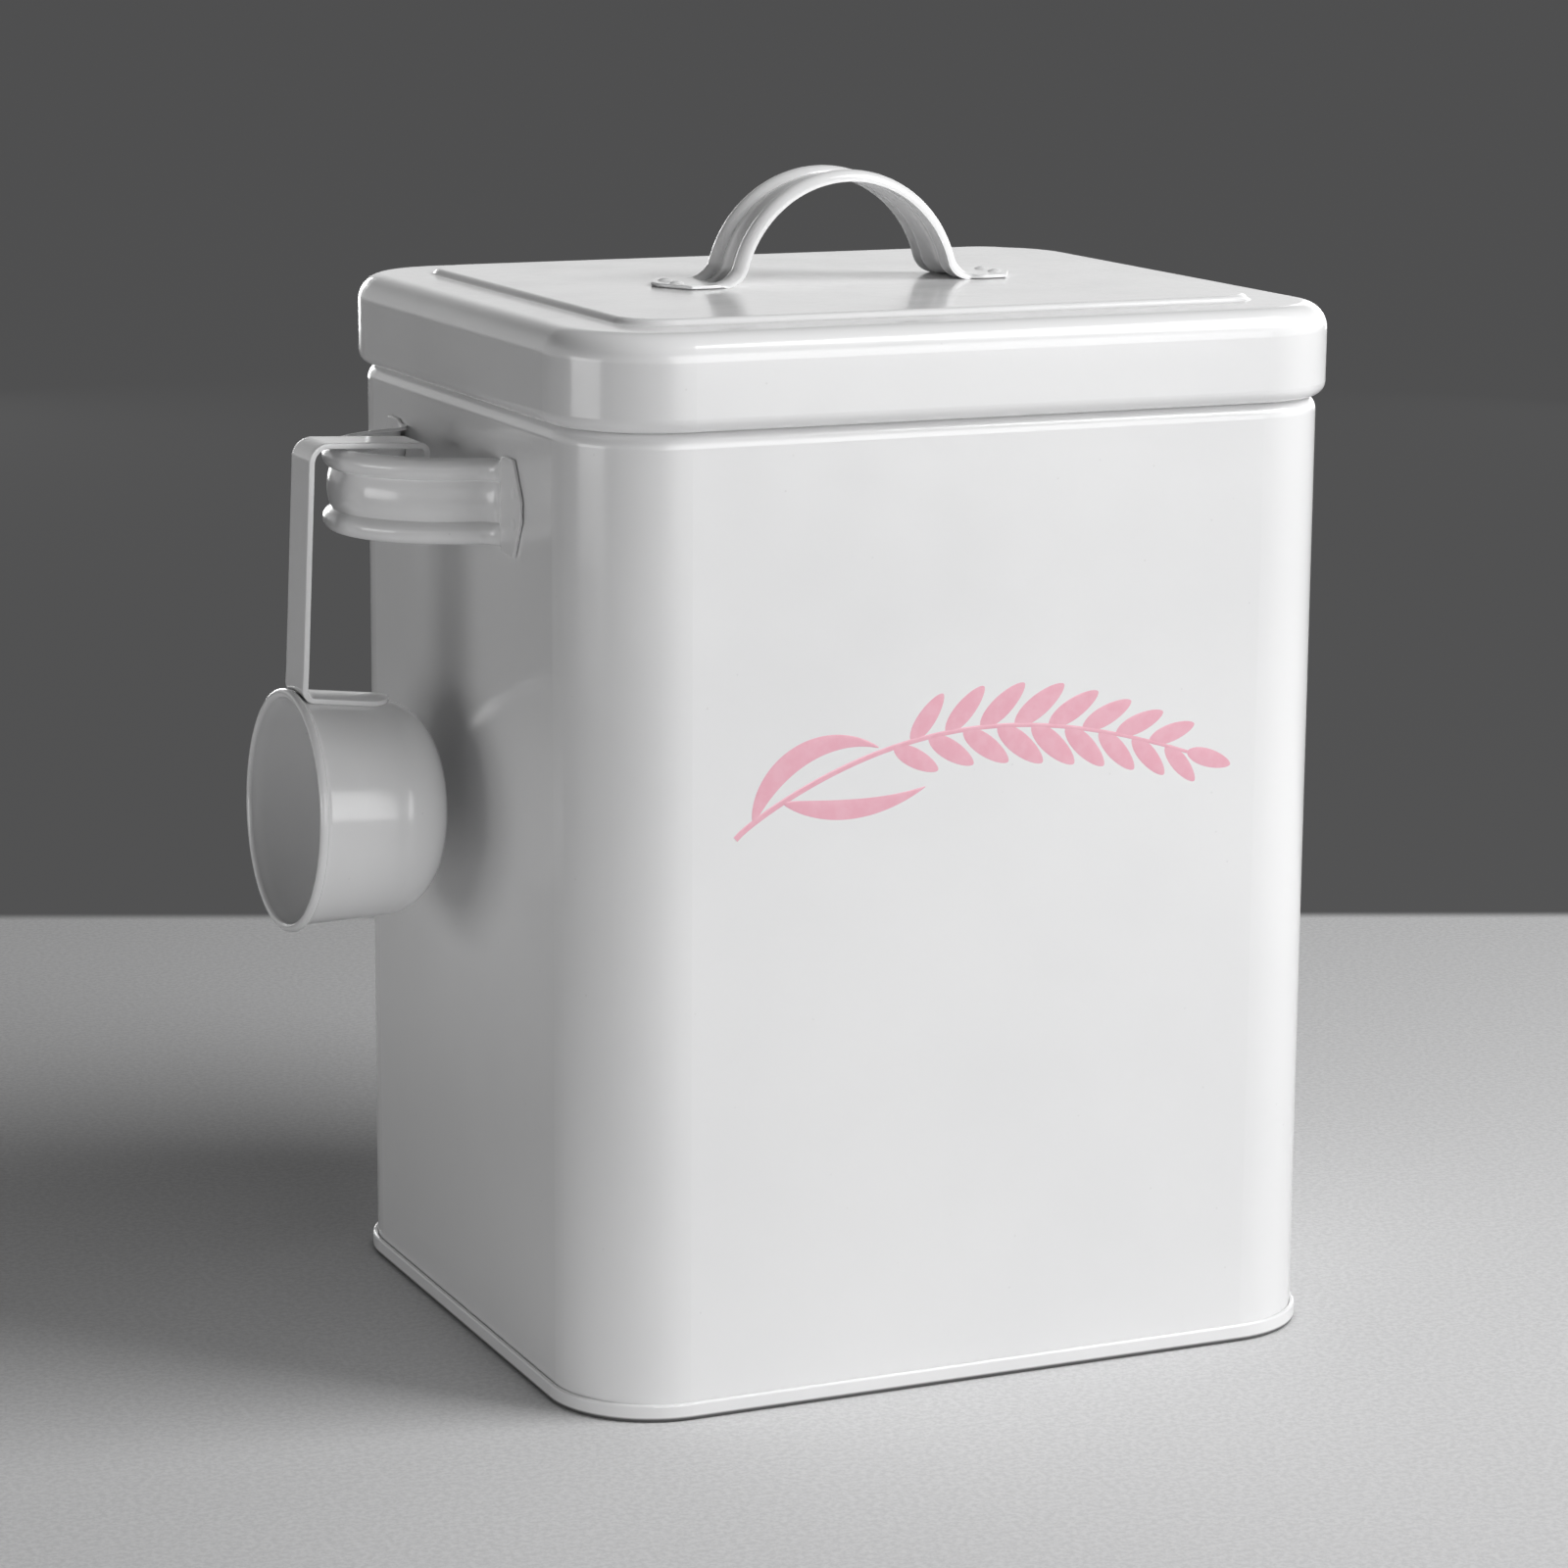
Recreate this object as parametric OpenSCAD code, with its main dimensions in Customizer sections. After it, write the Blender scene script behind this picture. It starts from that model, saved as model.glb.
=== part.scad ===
// Rice bin in enamelled sheet steel: a double-seamed square canister, a lift-off lid
// and a measuring scoop that hangs on one of the two side handles.
// Millimetres. The origin is the middle of the base, on the table; +Z is up, the front
// faces -Y and the scoop hangs on the -X side.

/* [Body] */
// Width of the body across its front, over the sheet
body_w = 200; // [160:1:240]
// Depth of the body from front to back, over the sheet
body_d = 176; // [150:1:220]
// Height at which the upright wall turns in to the neck
wall_h = 233.5; // [190:0.5:280]
// Radius of the upright corners
corner_r = 25; // [20:0.5:35]
// Thickness of the sheet steel of body, bottom and lid
sheet_t = 0.4; // [0.3:0.05:0.6]
// Radius of the rounded shoulder under the lid
shoulder_r = 4; // [3.5:0.5:7]
// Radius of the fillet from the shoulder up to the neck
neck_fillet_r = 0.8; // [0.5:0.1:1.5]
// Height of the neck above the shoulder
neck_h = 14; // [10:0.5:18]
// Radius of the curl round the mouth
mouth_curl_r = 1.2; // [1:0.1:2]

/* [Bottom seam] */
// Height of the double seam round the base
seam_h = 4.4; // [3.8:0.1:6]
// Sealing film between the folded layers of a seam
seam_film = 0.04; // [0.02:0.01:0.08]
// Height of the bottom panel above the table
bottom_recess = 3.6; // [3.2:0.1:5]
// Radius of the turns at either side of the flat ring that the bin stands on
base_turn_r = 0.7; // [0.5:0.05:0.85]
// Width of the folded lock seam up the back wall
lock_seam_w = 6; // [4:0.5:10]
// Depth of the fine groove where the lock seam's edge shows
lock_groove_d = 0.2; // [0.1:0.05:0.25]

/* [Lid] */
// How far the lid's skirt stands out past the body wall
lid_over = 2.25; // [1.5:0.25:4]
// Height of the lid from its hem to the border of its top
lid_h = 22.8; // [20:0.2:30]
// Radius of the edge round the lid's top
lid_edge_r = 6.5; // [5:0.5:9]
// Height of the leg that the hem turns up inside the skirt
hem_leg = 4; // [2:0.5:6]
// Gap between the lid and the body where the lid is seated and guided
lid_gap = 0.3; // [0.2:0.05:0.5]
// Border round the raised panel of the lid's top
panel_border = 19; // [15:0.5:26]
// Height of the raised panel over the border
panel_rise = 1.5; // [1:0.1:2.5]
// Corner radius of the raised panel
panel_corner_r = 11; // [8:0.5:20]

/* [Strap handles] */
// Radius of the arch's underside
crown_r = 28.5; // [26:0.5:32]
// Straight length of the legs of the lid's handle
lid_handle_leg = 0.5; // [0.5:0.1:8]
// Straight length of the legs of the side handles
side_handle_leg = 4.4; // [0.5:0.1:8]
// Radius of the bend from a leg to its foot, on the underside
foot_bend_r = 6; // [5:0.5:9]
// Length of a foot, past the bend
foot_len = 15; // [14:0.5:18]
// How far a foot stands out past the strap at either side
foot_flare = 1.2; // [0.6:0.1:2]
// Radius of the curve on which the beads run out into a foot
run_out_r = 27; // [26:0.5:30]
// Thickness of the handle strap
strap_t = 0.8; // [0.6:0.1:1]
// Outer radius of the two beads along the strap's edges
bead_r = 2.8; // [2.6:0.1:3]
// Distance between the two beads' middles
bead_pitch = 15.4; // [15:0.2:17]
// How far the middle of the strap lies below the beads' tops
crown_drop = 1.1; // [0.9:0.1:1.1]
// Depth of the side handles' middle line below the top of the wall
side_handle_drop = 19; // [15:0.5:60]
// Place of the side handles, towards the back
side_handle_y = 4.5; // [-10:0.5:10]

/* [Fixings] */
// Distance between the two fixings of a foot, across the strap
fixing_pitch = 7.5; // [6:0.5:7.5]
// Distance of the fixings from the end of a foot
fixing_inset = 4.5; // [4:0.5:5]
// Radius of a rivet's shank
rivet_r = 1.2; // [0.9:0.1:1.5]
// Radius of a rivet's head
rivet_head_r = 2.2; // [1.9:0.1:2.6]
// Height of a rivet's head
rivet_head_h = 0.9; // [0.6:0.1:1.2]
// Running gap between a rivet's shank and its hole
rivet_gap = 0.05; // [0.03:0.01:0.1]
// Radius of the mark that a spot weld leaves in a foot
weld_mark_r = 1.5; // [1:0.1:2]
// Depth of the mark that a spot weld leaves
weld_mark_d = 0.25; // [0.1:0.05:0.35]

/* [Scoop] */
// Radius of the cup's mouth, over its wall
cup_r = 28.6; // [26:0.2:36]
// Depth of the cup
cup_depth = 37; // [28:0.5:40]
// Thickness of the cup's wall
cup_t = 0.8; // [0.6:0.1:1.2]
// Angle at which the cup's wall draws in
cup_draft = 4; // [1:0.5:6]
// Radius of the cup's rounded bottom edge
cup_edge_r = 16; // [10:0.5:20]
// Radius of the lip round the cup's mouth
lip_r = 1.1; // [0.6:0.1:1.3]
// Width of the scoop's strap
scoop_strap_w = 14; // [11:0.5:17]
// Thickness of the scoop's strap
scoop_strap_t = 1.4; // [1:0.1:2]
// Length of the saddle-shaped tab that lies along the cup
tab_len = 24; // [18:0.5:28]
// Outer radius of the bend between tab and riser
tab_bend_r = 3; // [2.5:0.25:4]
// Outer radius of the hook's bend at the top of the riser
hook_bend_r = 5; // [3.5:0.5:7]
// Distance of the riser's outer face from the handle that the hook hangs on
hook_out = 9.7; // [9:0.1:14]
// Length of the hook inboard of that handle
hook_in = 21; // [16:0.2:22]
// Length of the hook's tip, turned down behind the handle
hook_tip = 9; // [7:0.5:12]
// Depth of the cup's axis below the top of the side handle
scoop_drop = 89.4; // [80:0.2:110]
// Angle at which the scoop leans out at its foot
scoop_lean = 2.5; // [1.5:0.25:3.5]
// Gap between the hook and the handle that it hangs on
hook_gap = 0.3; // [0.2:0.05:0.5]

/* [Hidden] */
$fn = 64;

enamel = [0.94, 0.94, 0.945];
enamel_shade = [0.89, 0.89, 0.9];

// The step in the lid climbs 4 for every 3 along, and the handles' legs 24 for every 7.
step_sin = 0.8;
step_cos = 0.6;
step_slope = acos(step_cos);
leg_sin = 0.96;
leg_cos = 0.28;
leg_slope = acos(leg_cos);

// Seam: the layers' middles lie one pitch apart, and the body's edge turns out at this height
layer = sheet_t + seam_film;
seam_turn_z = 2 * layer + sheet_t / 2;
seam_top_z = seam_h - layer - sheet_t / 2;
seam_tip_gap = 0.3;
base_turn_mid_r = base_turn_r - sheet_t / 2;
bottom_bend_r = 1.2;
wall_mid = -sheet_t / 2;

// The lock seam ends this far from the bottom seam and from the shoulder
lock_seam_end = 4;
lock_seam_z = seam_h + lock_seam_end;
lock_seam_h = wall_h - lock_seam_end - lock_seam_z;
lock_groove_w = 0.6;

// Neck: the outer face lies this far inside the body wall
neck_in = shoulder_r + neck_fillet_r;
curl_leg = 1.5;

// Lid: the skirt's lower edge is rolled in to a hem that fills the way from skirt to neck.
// The hem rests in the curve of the shoulder, so its height follows from both radii.
hem_r = (neck_in + lid_over - lid_gap) / 2;
hem_x = lid_over - hem_r;
hem_reach = hem_r + shoulder_r + lid_gap;
hem_z = wall_h + round(100 * sqrt(pow(hem_reach, 2) - pow(hem_x + shoulder_r, 2))) / 100;
lid_top = hem_z - hem_r + lid_h;
flange_w = 5;
plate_in = lid_edge_r - lid_over + flange_w;
step_r = panel_rise / (2 * (1 - step_cos));
step_half = step_r * step_sin;
panel_w = body_w + 2 * lid_over - 2 * panel_border;
panel_d = body_d + 2 * lid_over - 2 * panel_border;
panel_top = lid_top + panel_rise;

// Strap handle: heights are to the strap's underside
strap_w = bead_pitch + 2 * bead_r;
notch_half = bead_pitch / 2 - bead_r;
crown_top = bead_r - crown_drop;
crown_sag = crown_top - strap_t;
crown_bow_r = (pow(notch_half, 2) + pow(crown_sag, 2)) / (2 * crown_sag);
foot_half = strap_w / 2 + foot_flare;
foot_flare_len = 4;
foot_tip_len = 5;
foot_tip_half = 2.5;
rivet_tail_h = 0.7;
rivet_tail_r = 0.9 * rivet_head_r;

// Scoop: where the hook meets the side handle, before the scoop leans
side_handle_z = wall_h - side_handle_drop;
handle_top = side_handle_z + strap_w / 2;
hook_x = -body_w / 2 - strap_rise(side_handle_leg);
hook_rest = 0.15;
hook_z = handle_top + hook_gap + hook_rest;
riser_x = hook_x - hook_out;
rim_x = riser_x - 2 * lip_r;
cup_z = handle_top - scoop_drop;
cup_tab_r = cup_r - (2 * lip_r + tab_bend_r) * tan(cup_draft);
arc_steps = 12;
tip_inner_r = 1;
tab_flat = tab_len - tab_bend_r - scoop_strap_w / 2;
tab_lap = 0.15;
tab_gap = 0.03;

// ---- bent sheet and sweeps ----

// Part of a ring of middle radius r and thickness t
module ring_sector(r, t, from, turn) {
    reach = 2 * (r + t);
    intersection() {
        difference() {
            circle(r = r + t / 2);
            circle(r = r - t / 2);
        }
        polygon(concat([[0, 0]], [for (k = [0:3]) let (a = from + turn * k / 3) reach * [cos(a), sin(a)]]));
    }
}

// A sheet's profile, bent step by step from the origin along +X.
// Each step of run is [straight length, middle radius of the bend after it, angle, left positive].
module sheet_run(run, t, i = 0) {
    if (i < len(run)) {
        length = run[i][0];
        r = run[i][1];
        turn = run[i][2];
        side = turn < 0 ? -1 : 1;
        if (length > 0) {
            translate([0, -t / 2]) square([length, t]);
        }
        if (r > 0) {
            translate([length, side * r]) ring_sector(r, t, -90 * side, turn);
        }
        translate([length + r * sin(abs(turn)), side * r * (1 - cos(turn))])
            rotate(turn) sheet_run(run, t, i + 1);
    }
}

// Carries a profile round a rectangle with round corners.
// The profile's x is the distance outside that outline, and its y is the height.
module round_sweep(w, d, r) {
    for (k = [0:3]) {
        half = (k % 2 == 0 ? w : d) / 2;
        side = (k % 2 == 0 ? d : w) - 2 * r;
        rotate(90 * k) {
            translate([half, side / 2, 0]) rotate([90, 0, 0]) linear_extrude(side) children();
            translate([half - r, side / 2, 0]) rotate_extrude(angle = 90) translate([r, 0]) children();
        }
    }
}

module round_rect(w, d, r) {
    square([w - 2 * r, d], center = true);
    square([w, d - 2 * r], center = true);
    for (x = [-1, 1], y = [-1, 1]) {
        translate([x * (w / 2 - r), y * (d / 2 - r)]) circle(r = r);
    }
}

// A flat plate inside the body's outline, set in by inset
module body_plate(inset, z) {
    translate([0, 0, z]) linear_extrude(sheet_t)
        round_rect(body_w - 2 * inset, body_d - 2 * inset, corner_r - inset);
}

// ---- bin ----

module body_shell() {
    color(enamel) difference() {
        union() {
            round_sweep(body_w, body_d, corner_r)
                translate([wall_mid + 2 * layer, seam_top_z - seam_tip_gap]) rotate(-90)
                    sheet_run([
                        [seam_top_z - seam_tip_gap - seam_turn_z, layer, -180],
                        [wall_h - seam_turn_z, shoulder_r - sheet_t / 2, 90],
                        [0, neck_fillet_r + sheet_t / 2, -90],
                        [neck_h - mouth_curl_r - neck_fillet_r, mouth_curl_r - sheet_t / 2, 180],
                        [curl_leg, 0, 0]
                    ], sheet_t);
            lock_seam();
        }
        lock_seam_groove();
    }
}

// The body's one sheet is joined up the back: its folded edges lie flat inside the wall.
module lock_seam() {
    depth = 2 * layer;
    translate([-lock_seam_w / 2, body_d / 2 - sheet_t - depth, lock_seam_z])
        cube([lock_seam_w, depth + sheet_t / 2, lock_seam_h]);
}

module lock_seam_groove() {
    translate([lock_seam_w / 2 - lock_groove_w, body_d / 2 - lock_groove_d, lock_seam_z])
        cube([lock_groove_w, sheet_t, lock_seam_h]);
}

// The bottom is pressed down round its panel and rolled over the body's turned-out edge.
module bottom_panel() {
    inset = layer - wall_mid + bottom_bend_r - sheet_t / 2;
    mid_z = bottom_recess + sheet_t / 2;
    color(enamel_shade) union() {
        body_plate(inset + flange_w, bottom_recess);
        round_sweep(body_w, body_d, corner_r) translate([-inset - flange_w, mid_z])
            sheet_run([
                [flange_w, bottom_bend_r - sheet_t / 2, -90],
                [mid_z - bottom_bend_r + sheet_t / 2 - base_turn_r, base_turn_mid_r, 90],
                [4 * layer - 2 * base_turn_mid_r, base_turn_mid_r, 90],
                [seam_top_z - base_turn_r, layer, 180],
                [seam_top_z - seam_turn_z - seam_tip_gap, 0, 0]
            ], sheet_t);
    }
}

// ---- strap handles: a pressed strap, beaded along both edges, on flat feet ----

// Rise of the arch's underside over the feet, and half its span from bend to bend
function strap_rise(leg) = (crown_r + foot_bend_r) * (1 - leg_cos) + leg * leg_sin;
function half_span(leg) = (crown_r + foot_bend_r) * leg_sin + leg * leg_cos;

// The strap's cross-section as a filled form: x across it, y out from its underside.
// inset is 0 for its outside, and the strap's thickness for its hollow.
module strap_form(inset) {
    middle = notch_half + strap_t / 2;
    intersection() {
        union() {
            for (s = [-1, 1]) {
                translate([s * bead_pitch / 2, 0]) circle(r = bead_r - inset);
            }
            intersection() {
                translate([0, crown_top - crown_bow_r]) circle(r = crown_bow_r - inset);
                translate([-middle, 0]) square([2 * middle, 2 * bead_r]);
            }
        }
        translate([-strap_w, 0]) square([2 * strap_w, 2 * bead_r]);
    }
}

module strap_section() {
    difference() {
        strap_form(0);
        strap_form(strap_t);
    }
}

// Carries a section round one bend of a handle, from its start plane to its end plane.
// out is 1 where the strap's outside lies away from the bend's middle, else -1.
module strap_bend(r, out) {
    reach = 3 * (r + bead_r);
    rotate([90, 0, 0]) rotate(90 * out) mirror([0, 1, 0]) intersection() {
        rotate_extrude(angle = 90) translate([r, 0]) rotate(-90 * out) children();
        translate([0, 0, -strap_w]) linear_extrude(2 * strap_w)
            polygon([[0, 0], [reach, 0], [reach, reach * leg_sin], [reach * leg_cos, reach * leg_sin]]);
    }
}

// Half of the arch, from the crown down to the foot, in the XZ plane
module half_arch(leg) {
    rise = strap_rise(leg);
    translate([0, 0, rise - crown_r]) strap_bend(crown_r, 1) strap_section();
    translate([crown_r * leg_sin, 0, rise - crown_r * (1 - leg_cos)]) rotate([0, leg_slope, 0])
        rotate([90, 0, 90]) linear_extrude(leg) strap_section();
    translate([half_span(leg), 0, foot_bend_r]) strap_bend(foot_bend_r, -1) strap_section();
}

// The beads and the crowned middle run on along a curve that dives into the foot.
module run_out() {
    translate([0, 0, -run_out_r]) strap_bend(run_out_r, 1) children();
}

// Outline of a flat foot, which flares past the strap and narrows to a blunt tip
module foot_outline() {
    half = [
        [0, strap_w / 2 - strap_t / 2], [foot_flare_len, foot_half],
        [foot_len - foot_tip_len, foot_half], [foot_len, foot_tip_half]
    ];
    polygon(concat(half, [for (k = [3:-1:0]) [half[k][0], -half[k][1]]]));
}

// The space between the two slanting cuts at a foot's tip, as far as the beads reach
module tip_cut() {
    wide = 2 * foot_half - foot_tip_half;
    back = foot_len - 2 * foot_tip_len;
    linear_extrude(2 * bead_r) polygon([
        [0, -wide], [back, -wide], [foot_len, -foot_tip_half],
        [foot_len, foot_tip_half], [back, wide], [0, wide]
    ]);
}

module foot() {
    difference() {
        union() {
            linear_extrude(strap_t) foot_outline();
            intersection() {
                run_out() strap_form(0);
                tip_cut();
            }
        }
        run_out() strap_form(strap_t);
    }
}

module strap_handle(leg) {
    for (s = [0, 1]) {
        mirror([s, 0, 0]) {
            half_arch(leg);
            translate([half_span(leg), 0, 0]) foot();
        }
    }
}

module at_fixings(leg) {
    fixing_x = half_span(leg) + foot_len - fixing_inset;
    for (x = [-1, 1], y = [-1, 1]) {
        translate([x * fixing_x, y * fixing_pitch / 2, 0]) children();
    }
}

// A shallow round mark, the part of a ball that reaches weld_mark_d into a face at z = 0
module weld_mark() {
    ball_r = (pow(weld_mark_r, 2) + pow(weld_mark_d, 2)) / (2 * weld_mark_d);
    translate([0, 0, ball_r - weld_mark_d]) sphere(r = ball_r);
}

// Stands a handle on the bin's side: its arch lies level and its feet are upright.
module on_left_side() {
    translate([-body_w / 2, side_handle_y, side_handle_z]) rotate([90, 0, 0]) rotate([0, -90, 0]) children();
}

module left_handle() {
    color(enamel) on_left_side() difference() {
        strap_handle(side_handle_leg);
        translate([0, 0, strap_t]) at_fixings(side_handle_leg) weld_mark();
    }
}

module right_handle() {
    mirror([1, 0, 0]) left_handle();
}

// ---- lid ----

module lid_shell() {
    edge_mid_r = lid_edge_r - sheet_t / 2;
    hem_mid_r = hem_r - sheet_t / 2;
    skirt = lid_h - lid_edge_r - hem_r;
    outline_r = corner_r - plate_in;
    color(enamel) difference() {
        union() {
            round_sweep(body_w, body_d, corner_r) translate([-plate_in, lid_top - sheet_t / 2])
                sheet_run([[flange_w, edge_mid_r, -90], [skirt, hem_mid_r, -180], [hem_leg, 0, 0]], sheet_t);
            translate([0, 0, lid_top - sheet_t]) linear_extrude(sheet_t) difference() {
                round_rect(body_w - 2 * plate_in, body_d - 2 * plate_in, outline_r);
                round_rect(panel_w + 2 * step_half, panel_d + 2 * step_half, panel_corner_r + step_half);
            }
            round_sweep(panel_w, panel_d, panel_corner_r)
                translate([step_half, lid_top - sheet_t / 2]) rotate(180)
                    sheet_run([[0, step_r, -step_slope], [0, step_r, step_slope]], sheet_t);
            translate([0, 0, panel_top - sheet_t]) linear_extrude(sheet_t)
                round_rect(panel_w - 2 * step_half, panel_d - 2 * step_half, panel_corner_r - step_half);
        }
        translate([0, 0, panel_top - 2 * sheet_t]) at_fixings(lid_handle_leg)
            cylinder(r = rivet_r + rivet_gap, h = 4 * sheet_t);
    }
}

module lid_handle() {
    color(enamel) translate([0, 0, panel_top]) difference() {
        strap_handle(lid_handle_leg);
        translate([0, 0, -strap_t]) at_fixings(lid_handle_leg)
            cylinder(r = rivet_r + rivet_gap, h = 3 * strap_t);
    }
}

// Domed head over the foot, shank through foot and lid, tail spread under the lid
module lid_rivets() {
    head_ball_r = (pow(rivet_head_r, 2) + pow(rivet_head_h, 2)) / (2 * rivet_head_h);
    grip = strap_t + sheet_t;
    color(enamel) translate([0, 0, panel_top + strap_t]) at_fixings(lid_handle_leg) {
        intersection() {
            translate([0, 0, rivet_head_h - head_ball_r]) sphere(r = head_ball_r);
            cylinder(r = 2 * rivet_head_r, h = rivet_head_h);
        }
        translate([0, 0, -grip]) cylinder(r = rivet_r, h = grip);
        translate([0, 0, -grip - rivet_tail_h]) cylinder(r1 = rivet_r, r2 = rivet_tail_r, h = rivet_tail_h);
    }
}

// ---- scoop ----

// Leans the scoop about the place where its hook lies on the handle
module leaning() {
    translate([hook_x, side_handle_y, hook_z]) rotate([0, scoop_lean, 0])
        translate([-hook_x, 0, -hook_z]) children();
}

function arc_points(middle, r, from, to) =
    [for (k = [0:arc_steps]) let (a = from + (to - from) * k / arc_steps) middle + r * [cos(a), sin(a)]];

// Outline of the cup's outside at a distance inside it: x from the axis, y down from the mouth
function cup_side(inset) =
    let (r = cup_edge_r - inset,
        mid_y = cup_depth - cup_edge_r,
        mid_x = cup_r - mid_y * tan(cup_draft) - cup_edge_r / cos(cup_draft))
    concat([[cup_r - inset / cos(cup_draft), 0]],
        arc_points([mid_x, mid_y], r, -cup_draft, 90),
        [[0, cup_depth - inset]]);

// A drawn cup: tapered wall, rounded bottom edge and a turned-out lip
module cup_section() {
    outer = cup_side(0);
    inner = cup_side(cup_t);
    polygon(concat(outer, [for (k = [len(inner) - 1:-1:0]) inner[k]]));
    translate([cup_r + lip_r - cup_t, lip_r]) circle(r = lip_r);
}

module scoop_cup() {
    color(enamel) leaning() translate([rim_x, 0, cup_z]) rotate([0, 90, 0]) rotate_extrude() cup_section();
}

module scoop_handle() {
    tab_z = cup_z + cup_tab_r + tab_gap;
    bend_r = tab_bend_r - scoop_strap_t / 2;
    top_r = hook_bend_r - scoop_strap_t / 2;
    tip_bend_r = scoop_strap_t + tip_inner_r;
    riser = hook_z + scoop_strap_t - hook_bend_r - (tab_z + tab_bend_r);
    run = hook_out + hook_in - hook_bend_r - tip_bend_r;
    color(enamel) leaning() {
        translate([riser_x + tab_bend_r, scoop_strap_w / 2, tab_z + scoop_strap_t / 2]) rotate([90, 0, 0])
            linear_extrude(scoop_strap_w) rotate(180)
                sheet_run([
                    [0, bend_r, -90],
                    [riser, top_r, -90],
                    [run, tip_bend_r - scoop_strap_t / 2, -90],
                    [hook_tip - tip_bend_r, 0, 0]
                ], scoop_strap_t);
        intersection() {
            translate([riser_x + tab_bend_r, 0, cup_z]) linear_extrude(2 * cup_r) {
                translate([-tab_lap, -scoop_strap_w / 2]) square([tab_flat + tab_lap, scoop_strap_w]);
                translate([tab_flat, 0]) circle(r = scoop_strap_w / 2);
            }
            difference() {
                around_cup(tab_gap + scoop_strap_t);
                around_cup(tab_gap);
            }
        }
    }
}

// A cone that lies at a distance outside the cup's wall, from its mouth to its bottom
module around_cup(distance) {
    r = cup_r + distance / cos(cup_draft);
    translate([rim_x, 0, cup_z]) rotate([0, 90, 0])
        cylinder(r1 = r, r2 = r - cup_depth * tan(cup_draft), h = cup_depth);
}

body_shell();
bottom_panel();
left_handle();
right_handle();
lid_shell();
lid_handle();
lid_rivets();
scoop_cup();
scoop_handle();
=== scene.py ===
"""Finishes, light and finely shaped pieces for a rice bin in enamelled sheet steel.

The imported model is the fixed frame. Its sheet-metal shells and rivets keep their own meshes and
get enamel. The strap handles, the scoop's cup and strap, and the print on the front are made here
as parametric surfaces. They are worked out in millimetres and scaled when they go into a mesh.
The bin stands on z = 0, its front faces -Y, and the scoop hangs on its -X side.
"""
import logging
import math
from dataclasses import dataclass, field
from enum import Enum

import bpy
import numpy as np
from mathutils import Matrix, Vector


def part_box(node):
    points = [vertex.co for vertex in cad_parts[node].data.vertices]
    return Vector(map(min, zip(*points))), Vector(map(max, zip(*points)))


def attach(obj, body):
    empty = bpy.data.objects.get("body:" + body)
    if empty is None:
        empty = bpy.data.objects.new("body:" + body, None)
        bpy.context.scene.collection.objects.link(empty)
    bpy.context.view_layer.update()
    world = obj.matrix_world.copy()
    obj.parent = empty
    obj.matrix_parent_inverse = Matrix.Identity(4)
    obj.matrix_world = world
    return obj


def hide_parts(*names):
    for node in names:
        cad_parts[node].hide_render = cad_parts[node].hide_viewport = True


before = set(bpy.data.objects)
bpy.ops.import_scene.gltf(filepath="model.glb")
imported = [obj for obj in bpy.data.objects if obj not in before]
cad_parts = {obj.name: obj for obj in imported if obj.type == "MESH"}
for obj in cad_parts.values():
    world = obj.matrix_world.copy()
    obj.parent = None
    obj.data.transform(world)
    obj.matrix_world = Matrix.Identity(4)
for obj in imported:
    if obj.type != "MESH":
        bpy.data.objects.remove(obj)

MM = 0.001
# millimetres between two points that must not meet
HAIR = 0.01
# the least divisor
TINY = 1e-6
# from none to all
SHARE = (0.0, 1.0)
ENAMEL_IOR = 1.5
Color = tuple[float, float, float]
Span = tuple[float, float]
log = logging.getLogger("rice_bin")


# ---- numbers on grids ----

def smooth_step(x: np.ndarray, start: float, end: float) -> np.ndarray:
    """Goes from 0 at start to 1 at end as 3 t^2 - 2 t^3. Start may be the greater."""
    t = np.clip((x - start) / (end - start), 0.0, 1.0)
    return t * t * (3.0 - 2.0 * t)


def smooth_max(a: np.ndarray, b: np.ndarray, soft: float) -> np.ndarray:
    """The higher of a and b, plus k^2 soft / 4 where k = 1 - |a - b| / soft is above 0."""
    k = np.clip(1.0 - np.abs(a - b) / soft, 0.0, 1.0)
    return np.maximum(a, b) + k * k * soft / 4.0


def round_off(away: np.ndarray, length: float, drop: float) -> np.ndarray:
    """What a quarter ellipse takes off near an end: drop (1 - sqrt(1 - k^2)), k = 1 - away / length."""
    k = np.clip(1.0 - away / length, 0.0, 1.0)
    return drop * (1.0 - np.sqrt(1.0 - k * k))


def mirrored(half: np.ndarray) -> np.ndarray:
    """A list of positions that runs down to 0, carried on to the same positions negated."""
    return np.concatenate([half, -half[-2::-1]])


def row_inward(start: Span, count: int) -> np.ndarray:
    """One position by itself, then an even row of count positions from the next one down to 0."""
    return np.concatenate([start[:1], np.linspace(start[1], 0.0, count)])


def steps_along(line: np.ndarray) -> np.ndarray:
    """The direction of a line at each of its points, as rows of length 1."""
    step = np.gradient(line, axis=0)
    return step / np.hypot(step[:, 0], step[:, 1])[:, np.newaxis]


# ---- grids into meshes ----

def linked(name: str, data: bpy.types.ID) -> bpy.types.Object:
    """A new object that holds a mesh, a light or a camera, in the scene."""
    obj = bpy.data.objects.new(name, data)
    bpy.context.scene.collection.objects.link(obj)
    return obj


def loop_faces(rows: int, around: int) -> np.ndarray:
    """Quads of a tube whose rows are closed loops.

    Args:
        rows: Number of loops.
        around: Number of points in each loop.

    Returns:
        Vertex numbers, four to a row.
    """
    i, j = np.meshgrid(np.arange(rows - 1), np.arange(around), indexing="ij")
    here, there = i * around, (i + 1) * around
    k = (j + 1) % around
    return np.stack([here + j, here + k, there + k, there + j], -1).reshape(-1, 4)


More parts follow.
